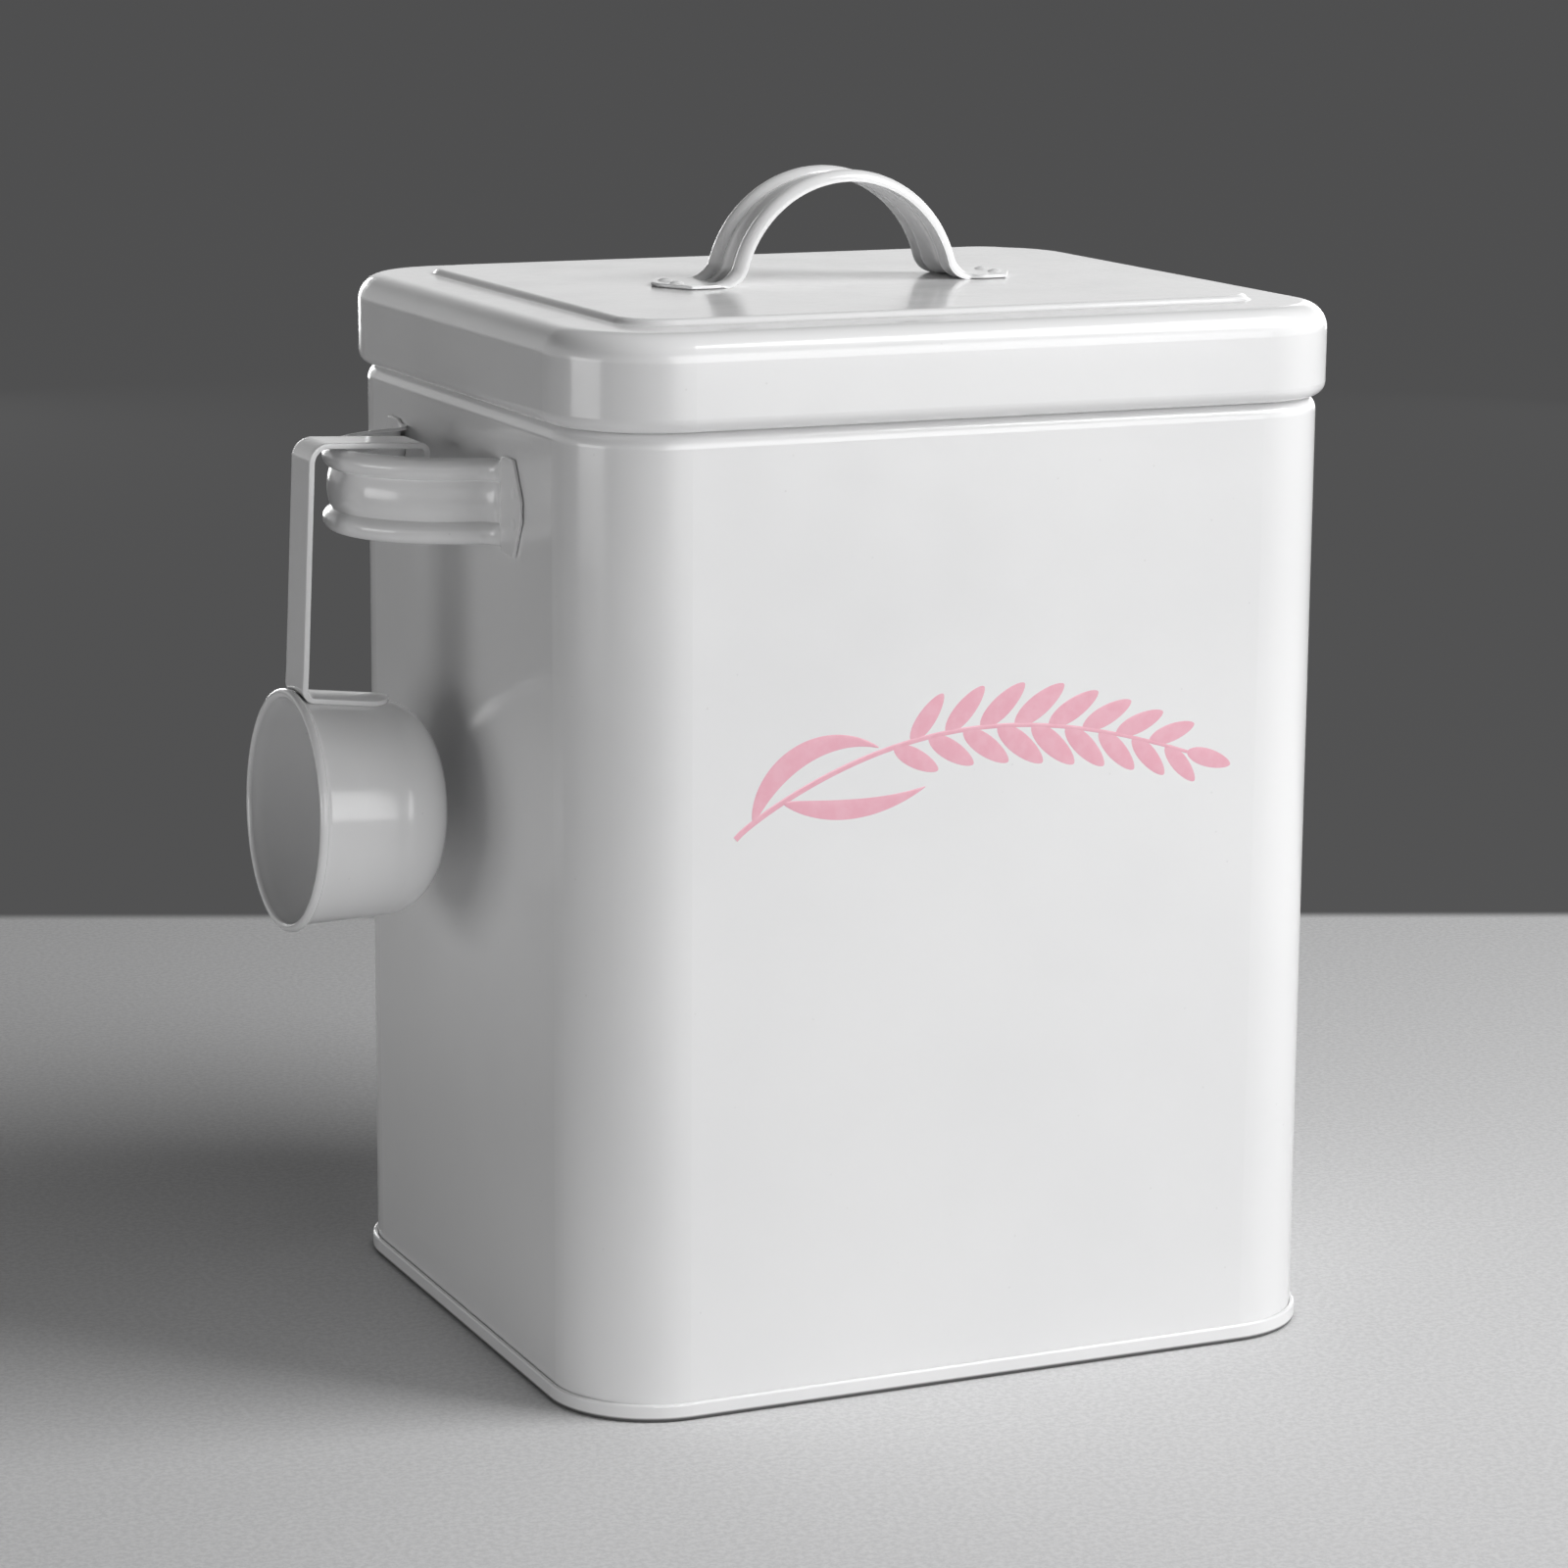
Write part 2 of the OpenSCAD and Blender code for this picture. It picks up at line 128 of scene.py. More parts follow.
def fan_faces(pole: int, first: int, around: int) -> np.ndarray:
    """Triangles, as vertex numbers, from a pole to the loop that starts at the vertex first."""
    j = np.arange(around)
    return np.stack([np.full(around, pole), first + (j + 1) % around, first + j], -1)


@dataclass
class Shell:
    """A closed surface as vertices in millimetres and faces.

    Attributes:
        points: Vertices, n x 3.
        faces: Arrays of vertex numbers, one array for each count of corners.
    """

    points: np.ndarray
    faces: list[np.ndarray]

    @classmethod
    def tube(cls, grid: np.ndarray) -> "Shell":
        """A tube of closed loops, shut at both ends by a fan to the loop's middle.

        Args:
            grid: Loops x points x 3.

        Returns:
            The closed shell.
        """
        rows, around = grid.shape[:2]
        points = np.concatenate([grid.reshape(-1, 3), grid[:1].mean(1), grid[-1:].mean(1)])
        first_pole, last_row = rows * around, (rows - 1) * around
        ends = np.concatenate([
            fan_faces(first_pole, 0, around),
            fan_faces(first_pole + 1, last_row, around)[:, ::-1],
        ])
        return cls(points, [loop_faces(rows, around), ends])

    @classmethod
    def joined(cls, shells: list["Shell"]) -> "Shell":
        """Several shells as one.

        Args:
            shells: The shells, which stay apart.

        Returns:
            One shell that holds them all.
        """
        starts = np.cumsum([0] + [len(s.points) for s in shells[:-1]])
        faces = [f + n for s, n in zip(shells, starts) for f in s.faces]
        return cls(np.concatenate([s.points for s in shells]), faces)

    def volume(self) -> float:
        """Signed volume, the sum of a . (b x c) / 6 over its triangles."""
        total = 0.0
        for f in self.faces:
            for k in range(1, f.shape[1] - 1):
                a, b, c = (self.points[f[:, n]] for n in (0, k, k + 1))
                total += float(np.einsum("ij,ij->", a, np.cross(b, c))) / 6.0
        return total

    def outward(self) -> "Shell":
        """The same shell with its faces turned outwards."""
        if self.volume() < 0:
            return Shell(self.points, [f[:, ::-1] for f in self.faces])
        return self

    def object(self, name: str, crease: float = 40.0) -> bpy.types.Object:
        """A Blender object at the origin that holds this shell, in metres.

        Args:
            name: Name of the piece.
            crease: Angle in degrees above which an edge stays sharp.

        Returns:
            The linked object.
        """
        shell = self.outward()
        mesh = bpy.data.meshes.new(name)
        faces = [row for f in shell.faces for row in f.tolist()]
        mesh.from_pydata((shell.points * MM).tolist(), [], faces)
        mesh.polygons.foreach_set("use_smooth", np.ones(len(mesh.polygons), bool))
        mesh.set_sharp_from_angle(angle=math.radians(crease))
        mesh.validate()
        mesh.update()
        return linked(name, mesh)


# ---- finishes ----

class NodeSheet:
    """A node tree, with short ways to add and join nodes."""

    def __init__(self, tree: bpy.types.NodeTree) -> None:
        """Holds the tree that nodes are added to."""
        self.tree = tree

    def add(self, kind: str, **values: object) -> bpy.types.Node:
        """Adds a node.

        Args:
            kind: Its type.
            values: Properties of the node, set by name.

        Returns:
            The node.
        """
        node = self.tree.nodes.new(kind)
        for key, value in values.items():
            setattr(node, key, value)
        return node

    def feed(self, node: bpy.types.Node, inputs: dict[str | int, object]) -> bpy.types.Node:
        """Joins outputs to a node's inputs, or sets the inputs' own values.

        Args:
            node: The node.
            inputs: An output, a number, a vector or a colour for each input's name or place.

        Returns:
            The same node.
        """
        for key, value in inputs.items():
            socket = node.inputs[key]
            if isinstance(value, bpy.types.NodeSocket):
                self.tree.links.new(value, socket)
            else:
                socket.default_value = (*value, 1.0) if socket.type == "RGBA" else value
        return node

    def ranged(self, source: bpy.types.NodeSocket, come: Span, go: Span = SHARE) -> bpy.types.NodeSocket:
        """Maps one range of a value to another, smoothly and within its ends.

        Args:
            source: The value.
            come: The range that it is read over.
            go: The range that it is mapped to.

        Returns:
            The mapped value.
        """
        node = self.add("ShaderNodeMapRange", interpolation_type="SMOOTHSTEP")
        ends = zip(("From Min", "From Max", "To Min", "To Max"), (*come, *go))
        return self.feed(node, {"Value": source, **dict(ends)}).outputs["Result"]

    def blend(self, share: bpy.types.NodeSocket, a: Color | bpy.types.NodeSocket,
              b: Color | bpy.types.NodeSocket) -> bpy.types.NodeSocket:
        """Mixes two colours, or outputs that give them, by a share that is 0 for a and 1 for b."""
        node = self.add("ShaderNodeMix", data_type="RGBA")
        return self.feed(node, {"Factor": share, "A": a, "B": b}).outputs["Result"]


@dataclass(frozen=True)
class Mottle:
    """Smooth noise over a surface.

    Attributes:
        per_metre: Waves to the metre.
        detail: Octaves of finer noise on top.
        rough: Strength of each finer octave.
        span: Values of the noise between which it counts.
    """

    per_metre: float
    detail: float = 2.0
    rough: float = 0.5
    span: Span = (0.3, 0.7)


class Coat(NodeSheet):
    """A new material's node tree, with its shader and its Object coordinates."""

    def __init__(self, name: str) -> None:
        """Starts the material under its name."""
        self.material = bpy.data.materials.new(name)
        self.material.use_nodes = True
        super().__init__(self.material.node_tree)
        self.shader = self.tree.nodes["Principled BSDF"]
        self.place = self.add("ShaderNodeTexCoord").outputs["Object"]

    def noise(self, mottle: Mottle) -> bpy.types.NodeSocket:
        """Noise over the object, 0 to 1."""
        return self.feed(self.add("ShaderNodeTexNoise"), {
            "Vector": self.place, "Scale": mottle.per_metre, "Detail": mottle.detail,
            "Roughness": mottle.rough,
        }).outputs["Fac"]

    def mottled(self, mottle: Mottle, go: Span = SHARE) -> bpy.types.NodeSocket:
        """Noise whose span is mapped to another range."""
        return self.ranged(self.noise(mottle), mottle.span, go)

    def bump(self, mottle: Mottle, depth: float,
             under: bpy.types.NodeSocket | None = None) -> bpy.types.NodeSocket:
        """Raises the surface's shading by noise.

        Args:
            mottle: The noise.
            depth: Metres that its 0 to 1 stands for.
            under: A coarser bump that this one lies on.

        Returns:
            The bent normal.
        """
        node = self.add("ShaderNodeBump")
        self.feed(node, {"Strength": 1.0, "Distance": depth, "Height": self.noise(mottle)})
        if under is not None:
            self.feed(node, {"Normal": under})
        return node.outputs["Normal"]

    def finished(self, inputs: dict[str | int, object]) -> bpy.types.Material:
        """The material, once its shader's inputs are joined or set."""
        self.feed(self.shader, inputs)
        return self.material


@dataclass(frozen=True)
class Enamel:
    """White gloss enamel over sheet steel.

    Attributes:
        name: Name of the material.
        sway: Metres of slow waves in the sheet under the coat.
        peel: Metres of the fine ripple that the fired coat keeps.
        contact_shade_below: Height in metres below which the coat is darkened by painted contact shade,
            or 0 for none. At half of it the painted shade is at its fullest.
        contact_shade_share: Share of the near-black shade colour that is painted there.
        white: Colour where the coat is full.
        thin: Colour where the coat is a little thinner or greyer.
        thinned: Greatest share of that colour.
        cloud: Noise that gives one way to the other.
        speck: Colour of its faint specks.
        specked: Share of that colour in a speck's middle.
        speck_cells: Cells to the metre, each with a speck.
        speck_r: Radii in cells between which a speck fades.
        steel: Near-black colour of the painted contact shade along the standing edge.
        gloss: Roughness from its smoothest to its dullest spots.
        spots: Noise that the gloss follows.
        waves: Noise of the slow waves, 5 cm long.
        ripple: Noise of the fine ripple, 2 mm long.
        clear: Share of a clearer coat on top.
        clear_gloss: Roughness of that coat.
    """

    name: str
    sway: float = 0.00018
    peel: float = 0.000006
    contact_shade_below: float = 0.0
    contact_shade_share: float = 0.95
    white: Color = (0.884, 0.884, 0.887)
    thin: Color = (0.845, 0.846, 0.851)
    thinned: float = 0.75
    cloud: Mottle = Mottle(11.0, 3.0, span=(0.35, 0.7))
    speck: Color = (0.42, 0.41, 0.40)
    specked: float = 0.16
    speck_cells: float = 120.0
    speck_r: Span = (0.02, 0.045)
    steel: Color = (0.05, 0.05, 0.05)
    gloss: Span = (0.14, 0.22)
    spots: Mottle = Mottle(70.0, 4.0, 0.6, (0.3, 0.75))
    waves: Mottle = Mottle(20.0, 0.0)
    ripple: Mottle = Mottle(520.0, 1.0)
    clear: float = 0.12
    clear_gloss: float = 0.03

    def material(self) -> bpy.types.Material:
        """Builds the enamel: a cloud of two whites, faint specks, uneven gloss, two ripples, and painted
        contact shade along its lowest edge when that is set.

        Returns:
            The material.
        """
        coat = Coat(self.name)
        color = coat.blend(coat.mottled(self.cloud, (0.0, self.thinned)), self.white, self.thin)
        cells = coat.add("ShaderNodeTexVoronoi", feature="F1")
        coat.feed(cells, {"Scale": self.speck_cells, "Vector": coat.place})
        speck = coat.ranged(cells.outputs["Distance"], self.speck_r, (self.specked, 0.0))
        color = coat.blend(speck, color, self.speck)
        # Painted shade: near black is blended in over the lowest band of the coat, standing in for the
        # contact shadow where the bin meets the floor.
        if self.contact_shade_below > 0:
            split = coat.feed(coat.add("ShaderNodeSeparateXYZ"), {"Vector": coat.place})
            shade_band = (self.contact_shade_below, self.contact_shade_below / 2)
            contact_shade = coat.ranged(split.outputs["Z"], shade_band, (0.0, self.contact_shade_share))
            color = coat.blend(contact_shade, color, self.steel)
        return coat.finished({
            "Base Color": color,
            "Roughness": coat.mottled(self.spots, self.gloss),
            "Normal": coat.bump(self.ripple, self.peel, coat.bump(self.waves, self.sway)),
            "IOR": ENAMEL_IOR,
            "Coat Weight": self.clear,
            "Coat Roughness": self.clear_gloss,
        })


@dataclass(frozen=True)
class PrintInk:
    """Pink glaze fired on to the enamel.

    Attributes:
        name: Name of the material.
        full: Colour where the glaze is thick.
        pale: Colour where the white shows through a little.
        cover: Noise that gives one way to the other.
        gloss: Roughness from its smoothest to its dullest spots.
        spots: Noise that the gloss follows.
        tooth: Noise of its fine grain.
        tooth_d: Metres of that grain.
    """

    name: str = "pink_print"
    full: Color = (0.88, 0.455, 0.545)
    pale: Color = (0.90, 0.505, 0.59)
    cover: Mottle = Mottle(380.0, 3.0)
    gloss: Span = (0.17, 0.25)
    spots: Mottle = Mottle(90.0)
    tooth: Mottle = Mottle(900.0)
    tooth_d: float = 0.000006

    def material(self) -> bpy.types.Material:
        """Builds the glaze: two close pinks in fine mottle, with a satin gloss."""
        coat = Coat(self.name)
        return coat.finished({
            "Base Color": coat.blend(coat.mottled(self.cover), self.full, self.pale),
            "Roughness": coat.mottled(self.spots, self.gloss),
            "Normal": coat.bump(self.tooth, self.tooth_d),
            "IOR": ENAMEL_IOR,
        })


@dataclass(frozen=True)
class FloorFinish:
    """A matt pale floor that gives way to a dark ground behind the object, and far out all round.

    Attributes:
        name: Name of the material.
        tone: Its grey.
        grain: The slightly darker grey of its grain.
        weave: Noise of the grain.
        dull: Its roughness. It mirrors nothing.
        dark: Grey of the ground past its edge.
        glow: Grey that the ground shows by itself, so that it stays even with distance.
        edge: Distances in metres behind the origin between which the floor ends.
        toward: Direction from the origin to that edge, level and of length 1.
        rim: Distances in metres from the origin between which it ends on all other sides.
    """

    name: str = "pale_floor"
    tone: Color = (0.76, 0.76, 0.765)
    grain: Color = (0.66, 0.66, 0.665)
    weave: Mottle = Mottle(620.0, 3.0, 0.75, (0.35, 0.65))
    dull: float = 0.75
    dark: Color = (0.015, 0.015, 0.015)
    glow: Color = (0.078, 0.078, 0.079)
    edge: Span = (0.40, 0.412)
    toward: tuple[float, float, float] = (0.3772, 0.9262, 0.0)
    rim: Span = (0.75, 1.25)

    def material(self) -> bpy.types.Material:
        """Builds the floor: a fine grain over a matt grey, and an even dark ground past its edges.

        The edge is read from the place's dot product with toward, and the rim from the place's
        length. The larger share of the two counts.

        Returns:
            The material.
        """
        coat = Coat(self.name)
        along = coat.add("ShaderNodeVectorMath", operation="DOT_PRODUCT")
        coat.feed(along, {0: coat.place, 1: self.toward})
        away = coat.feed(coat.add("ShaderNodeVectorMath", operation="LENGTH"), {0: coat.place})
        past = coat.feed(coat.add("ShaderNodeMath", operation="MAXIMUM"), {
            0: coat.ranged(along.outputs["Value"], self.edge),
            1: coat.ranged(away.outputs["Value"], self.rim),
        }).outputs["Value"]
        pale = coat.blend(coat.mottled(self.weave), self.tone, self.grain)
        return coat.finished({
            "Base Color": coat.blend(past, pale, self.dark),
            "Roughness": self.dull,
            "Specular IOR Level": 0.0,
            "Emission Color": self.glow,
            "Emission Strength": past,
        })


# ---- strap handles ----

class Seat(Enum):
    """Where a strap handle is fixed, named by the node that it stands for."""

    LID = "lid_handle"
    LEFT = "left_handle"
    RIGHT = "right_handle"


@dataclass
class StrapHandle:
    """A pressed strap, beaded along both edges, that arches from foot to foot. Sizes in millimetres.

    Attributes:
        seat: Where it is fixed.
        leg: Straight length between the arch and the bend to a foot.
        crown_r: Radius of the arch's underside.
        foot_bend_r: Radius of the underside in the bend to a foot.
        foot_len: Length of a foot.
        foot_flare: How far a foot stands out past the strap at each side.
        flare_len: Length over which it flares.
        tip_len: Length over which it narrows again.
        tip_half: Half the width of its blunt tip.
        tip_round: Size of the tip's own round corners.
        run_out_r: Radius of the curve on which the beads dive into the foot.
        strap_t: Thickness of the strap.
        bead_r: Outer radius of the beads.
        bead_pitch: Distance between their middles.
        crown_drop: How far the strap's middle lies below the beads' tops.
        leg_sin: Sine of the legs' slope.
        leg_cos: Cosine of the legs' slope.
        notch_soft: How softly the beads meet the strap's middle.
        plate_soft: How softly the beads meet a foot's flat plate, and its flare the narrowing.
        fade: Distances along the foot between which the beads flatten.
        plate_rise: Distances along the foot between which the plate comes up.
        plate_from: Height that it comes up from.
        plate_t: Thickness of the plate.
        edge_r: Radius of a foot's upper edge.
        lip: Bevel along the strap's lower edges, and height of a foot's edge over the face under it.
        lip_run: Length over which the underside comes up to the lip at a foot's tip.
        undercut: How far a foot's edge stands clear of the face under it, all round.
        weld_mark_r: Radius of the marks of spot welds, or 0 for none.
        weld_mark_d: Their depth.
        fixing_inset: Distance of the fixings from the tip.
        fixing_pitch: Distance between the two fixings of a foot.
        near_tip: Distances from the tip of the stations near it, close where it is round.
        narrowing: Start, end and step of those that follow.
        rest_from: Where an even row of them goes on to the bend.
        leg_step: Distance between stations on a leg, about.
        close_in: How far before the narrowing the points across start to close in.
        bead_arc: Angles in degrees between which the points of a bead's outside lie.
        hollow_arc: Angles in degrees between which the points of its hollow lie.
        top_mid: Distances across of the point beside a bead, and of the first in the even row that
            goes on to the middle.
        under_mid: The same two underneath.
    """

    seat: Seat
    leg: float
    crown_r: float = 28.5
    foot_bend_r: float = 6.0
    foot_len: float = 15.0
    foot_flare: float = 1.2
    flare_len: float = 4.0
    tip_len: float = 5.0
    tip_half: float = 2.5
    tip_round: float = 0.45
    run_out_r: float = 27.0
    strap_t: float = 0.8
    bead_r: float = 2.8
    bead_pitch: float = 15.4
    crown_drop: float = 1.1
    leg_sin: float = 0.96
    leg_cos: float = 0.28
    notch_soft: float = 0.55
    plate_soft: float = 0.7
    fade: Span = (-5.0, 7.0)
    plate_rise: Span = (-2.0, 2.5)
    plate_from: float = -1.0
    plate_t: float = 1.05
    edge_r: float = 0.22
    lip: float = 0.3
    lip_run: float = 0.4
    undercut: float = 0.9
    weld_mark_r: float = 0.0
    weld_mark_d: float = 0.2
    fixing_inset: float = 4.5
    fixing_pitch: float = 7.5
    near_tip: tuple[float, ...] = (0.0, 0.015, 0.04, 0.08, 0.15, 0.25, 0.4, 0.6, 0.8, 1.05, 1.3)
    narrowing: tuple[float, float, float] = (1.6, 7.2, 0.2)
    rest_from: float = 7.4
    leg_step: float = 0.8
    close_in: float = 1.0
    bead_arc: Span = (4.0, 159.0)
    hollow_arc: Span = (0.0, 176.0)
    top_mid: Span = (4.95, 4.7)
    under_mid: Span = (5.2, 4.74)

    def half_span(self) -> float:
        """Half the distance between the two bends' ends."""
        return (self.crown_r + self.foot_bend_r) * self.leg_sin + self.leg * self.leg_cos

    def rise(self) -> float:
        """Height of the arch's underside over the feet."""
        return (self.crown_r + self.foot_bend_r) * (1.0 - self.leg_cos) + self.leg * self.leg_sin

    def half_path(self) -> np.ndarray:
        """The underside's middle line from a foot's tip up to the crown.

        The foot runs in along x. The bend turns up about a centre at foot_bend_r over the foot. The
        leg goes on along its tangent, and the arch turns about a centre crown_r below the crown.

        Returns:
            Rows of x, z, the normal's x and z, and the distance along the foot, below 0 past its bend.
        """
        s, c, r = self.leg_sin, self.leg_cos, self.foot_bend_r
        slope = math.atan2(s, c)
        rest = np.linspace(self.rest_from, self.foot_len, 26)
        out = self.foot_len - np.concatenate([self.near_tip, np.arange(*self.narrowing), rest])
        foot = np.stack([self.half_span() + out, 0 * out, 0 * out, 1 + 0 * out, out], 1)
        a = np.linspace(0.0, slope, 19)[1:]
        bend_x = self.half_span() - r * np.sin(a)
        bend = np.stack([bend_x, r * (1 - np.cos(a)), np.sin(a), np.cos(a), -r * a], 1)
        k = np.linspace(0.0, self.leg, 2 + int(self.leg / self.leg_step))[1:]
        x, z, _, _, along = bend[-1]
        leg = np.stack([x - k * c, z + k * s, s + 0 * k, c + 0 * k, along - k], 1)
        b = slope * (1.0 - np.linspace(0.0, 1.0, 37)[1:])
        low = self.rise() - self.crown_r
        arch = np.stack([
            self.crown_r * np.sin(b), low + self.crown_r * np.cos(b), np.sin(b), np.cos(b),
            leg[-1, 4] - self.crown_r * (slope - b),
        ], 1)
        return np.concatenate([foot, bend, leg, arch])

    def half_width(self, out: np.ndarray) -> np.ndarray:
        """Half the strap's width, along the handle.

        It flares by foot_flare over flare_len, then narrows in a straight line to the tip. The
        corners between are rounded by a soft minimum, and the tip's own by a quarter ellipse.

        Args:
            out: Distance along the foot from its bend.

        Returns:
            The half width at each distance.
        """
        strap = self.bead_pitch / 2 + self.bead_r
        full = strap + self.foot_flare
        wide = strap + self.foot_flare * smooth_step(out, 0.0, self.flare_len)
        taper = full - (full - self.tip_half) * (out - self.foot_len + self.tip_len) / self.tip_len
        half = -smooth_max(-wide, -taper, self.plate_soft)
        return half - round_off(self.foot_len - out, self.tip_round, self.tip_round)

    def section(self, y: np.ndarray, inset: float) -> np.ndarray:
        """Height of the strap's section over its lower edges.

        Each bead is a half circle, and the middle is a flat arc whose top lies crown_drop below the
        beads' tops. The height is the larger of them, with the notch between filled on the outside.

        Args:
            y: Distance across the strap.
            inset: 0 for the outside, and the thickness for the hollow inside.

        Returns:
            The height at each distance.
        """
        r = self.bead_r - inset
        bead = np.sqrt(np.clip(r * r - (np.abs(y) - self.bead_pitch / 2) ** 2, 0.0, None))
        notch, top = self.bead_pitch / 2 - self.bead_r, self.bead_r - self.crown_drop
        sag = top - self.strap_t
        bow = (notch * notch + sag * sag) / (2 * sag)
        middle = top - bow + np.sqrt(np.clip((bow - inset) ** 2 - y * y, 0.0, None))
        middle = np.where(np.abs(y) < self.bead_pitch / 2, middle, -1.0)
        if inset > 0:
            return np.maximum(np.maximum(bead, middle), 0.0)
        return smooth_max(bead, middle, self.notch_soft)

    def dive(self, height: np.ndarray, out: np.ndarray) -> np.ndarray:
        """Lowers a height along the foot, as a circle about a centre run_out_r under the bend's end.

        It is sqrt((r + height)^2 - out^2) - r on the foot, and the height itself before it. The
        beads also fade, by a smooth step, from the bend to the flat part of the foot.

        Args:
            height: Height in the section.
            out: Distance along the foot.

        Returns:
            The lowered height.
        """
        r, x = self.run_out_r, np.clip(out, 0.0, None)
        left = 1.0 - smooth_step(out, *self.fade)
        return np.sqrt((r + height * left) ** 2 - x * x) - r

    def loops(self, out: np.ndarray, half: np.ndarray) -> tuple[np.ndarray, np.ndarray]:
        """The closed section at each station: over the top, round the lip, back underneath.

        The top is the larger of the diving beads and the foot's flat plate. Points across the beads
        stand at even angles. On the foot their outer part is stretched to the flared outline, and
        past the flare they close in with it. A foot's underside rises by lip near its sides and
        its tip, so that a dark line shows under its edge.

        Args:
            out: Distance along the foot for each station.
            half: Half width for each station.

        Returns:
            Distance across and height, each stations x points.
        """
        pitch, n = self.bead_pitch / 2, np.newaxis
        flat_end = self.foot_len - self.tip_len - self.close_in
        at_flat = self.half_width(np.array([flat_end]))[0]
        base = np.where(out > flat_end, at_flat, half)[:, n]
        close = np.where(out > flat_end, half / at_flat, 1.0)[:, n]

        angle = np.radians(np.linspace(*self.bead_arc, 27))
        swing = np.cos(angle) / math.cos(angle[0])
        reach = np.where(swing > 0, base - pitch, self.bead_r * math.cos(angle[0]))
        middle = row_inward(self.top_mid, 17)
        middle = np.broadcast_to(middle, (len(out), len(middle)))
        top_half = np.concatenate([pitch + reach * swing, middle], 1)
        top_y = np.concatenate([top_half, -top_half[:, -2::-1]], 1) * close

        share = smooth_step(out, *self.plate_rise)[:, n]
        plate = self.plate_from + share * (self.plate_t - self.plate_from)
        top = smooth_max(self.dive(self.section(top_y, 0.0), out[:, n]), plate, self.plate_soft)
        slope = np.gradient(half, out)[:, n]
        from_side = (half[:, n] - np.abs(top_y)) / np.sqrt(1 + slope ** 2)
        inside = np.minimum(from_side, self.foot_len - out[:, n])
        top = top - share * round_off(inside, self.edge_r, self.edge_r)
        if self.weld_mark_r > 0:
            along = out[:, n] - self.foot_len + self.fixing_inset
            away = np.hypot(along, np.abs(top_y) - self.fixing_pitch / 2) / self.weld_mark_r
            top = top - self.weld_mark_d * np.clip(1.0 - away * away, 0.0, 1.0)

        inner = self.bead_r - self.strap_t
        turn = np.radians(np.linspace(*self.hollow_arc, 15))
        under_half = np.concatenate([pitch + inner * np.cos(turn), row_inward(self.under_mid, 9)])
        under_y = mirrored(under_half)[n, :] * close
        tip = self.foot_len - self.undercut
        lift = self.lip * smooth_step(out, tip - self.lip_run, tip)[:, n]
        under = np.maximum(self.dive(self.section(under_y, self.strap_t), out[:, n]), lift)

        edge = half[:, n]
        lip_y = np.concatenate([edge, edge - self.lip - self.undercut * share], 1)
        lip_z = np.concatenate([self.lip + HAIR + 0 * edge, lift], 1)
        across = np.concatenate([top_y, -lip_y, under_y[:, ::-1], lip_y[:, ::-1]], 1)
        height = np.concatenate([top, lip_z, under[:, ::-1], lip_z[:, ::-1]], 1)
        return across, height

    def placed(self, x: np.ndarray, y: np.ndarray, z: np.ndarray) -> np.ndarray:
        """Moves the handle from its own axes to its seat, by exact swaps of axes.

        Args:
            x: Along the handle.
            y: Across the strap.
            z: Out from the face that the feet lie on.

        Returns:
            Points in the bin's axes.
        """
        low, high = (np.array(corner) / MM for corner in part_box(self.seat.value))
        mid = (low + high) / 2
        if self.seat is Seat.LID:
            return np.stack([mid[0] + x, mid[1] + y, low[2] + z], -1)
        face = high[0] - z if self.seat is Seat.LEFT else low[0] + z
        return np.stack([face, mid[1] - x, mid[2] + y], -1)

    def shell(self) -> Shell:
        """Carries the section along the path: point = path + height along its normal, and y across.

        Returns:
            The whole handle, which is the half path and its mirror image.
        """
        half = self.half_path()
        back = half[-2::-1] * np.array([-1.0, 1.0, -1.0, 1.0, 1.0])
        path = np.concatenate([half, back])
        across, height = self.loops(half[:, 4], self.half_width(half[:, 4]))
        across = np.concatenate([across, across[-2::-1]])
        height = np.concatenate([height, height[-2::-1]])
        x = path[:, 0:1] + height * path[:, 2:3]
        z = path[:, 1:2] + height * path[:, 3:4]
        return Shell.tube(self.placed(x, across, z))

    def build(self, finish: bpy.types.Material, body: str, slot: str) -> bpy.types.Object:
        """Makes the handle, dresses it, and lets it stand for its node.

        Args:
            finish: Its material.
            body: The body that it rides on.
            slot: Name of a material slot. It is not used.

        Returns:
            The piece.
        """
        piece = self.shell().object(self.seat.value + "_strap")
        piece.data.materials.append(finish)
        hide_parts(self.seat.value)
        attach(piece, body)
        return piece


# ---- scoop ----

@dataclass
class Lean:
    """The scoop's lean about the line where its hook lies on the handle. Sizes in millimetres.

    Attributes:
        x: The line's place across the bin.
        y: Middle of the scoop from front to back.
        z: The line's height.
        degrees: Angle at which the scoop's foot leans out.
    """

    x: float = -129.064
    y: float = 4.5
    z: float = 225.45
    degrees: float = 2.5

    def apply(self, points: np.ndarray) -> np.ndarray:
        """Turns points about the line: x' = x cos + z sin and z' = z cos - x sin, from the line.

        Args:
            points: Points of the upright scoop, with y from its middle.

        Returns:
            The same points on the bin.
        """
        a = math.radians(self.degrees)
        x, y, z = points[..., 0] - self.x, points[..., 1], points[..., 2] - self.z
        return np.stack([self.x + x * math.cos(a) + z * math.sin(a), self.y + y,
                         self.z + z * math.cos(a) - x * math.sin(a)], -1)


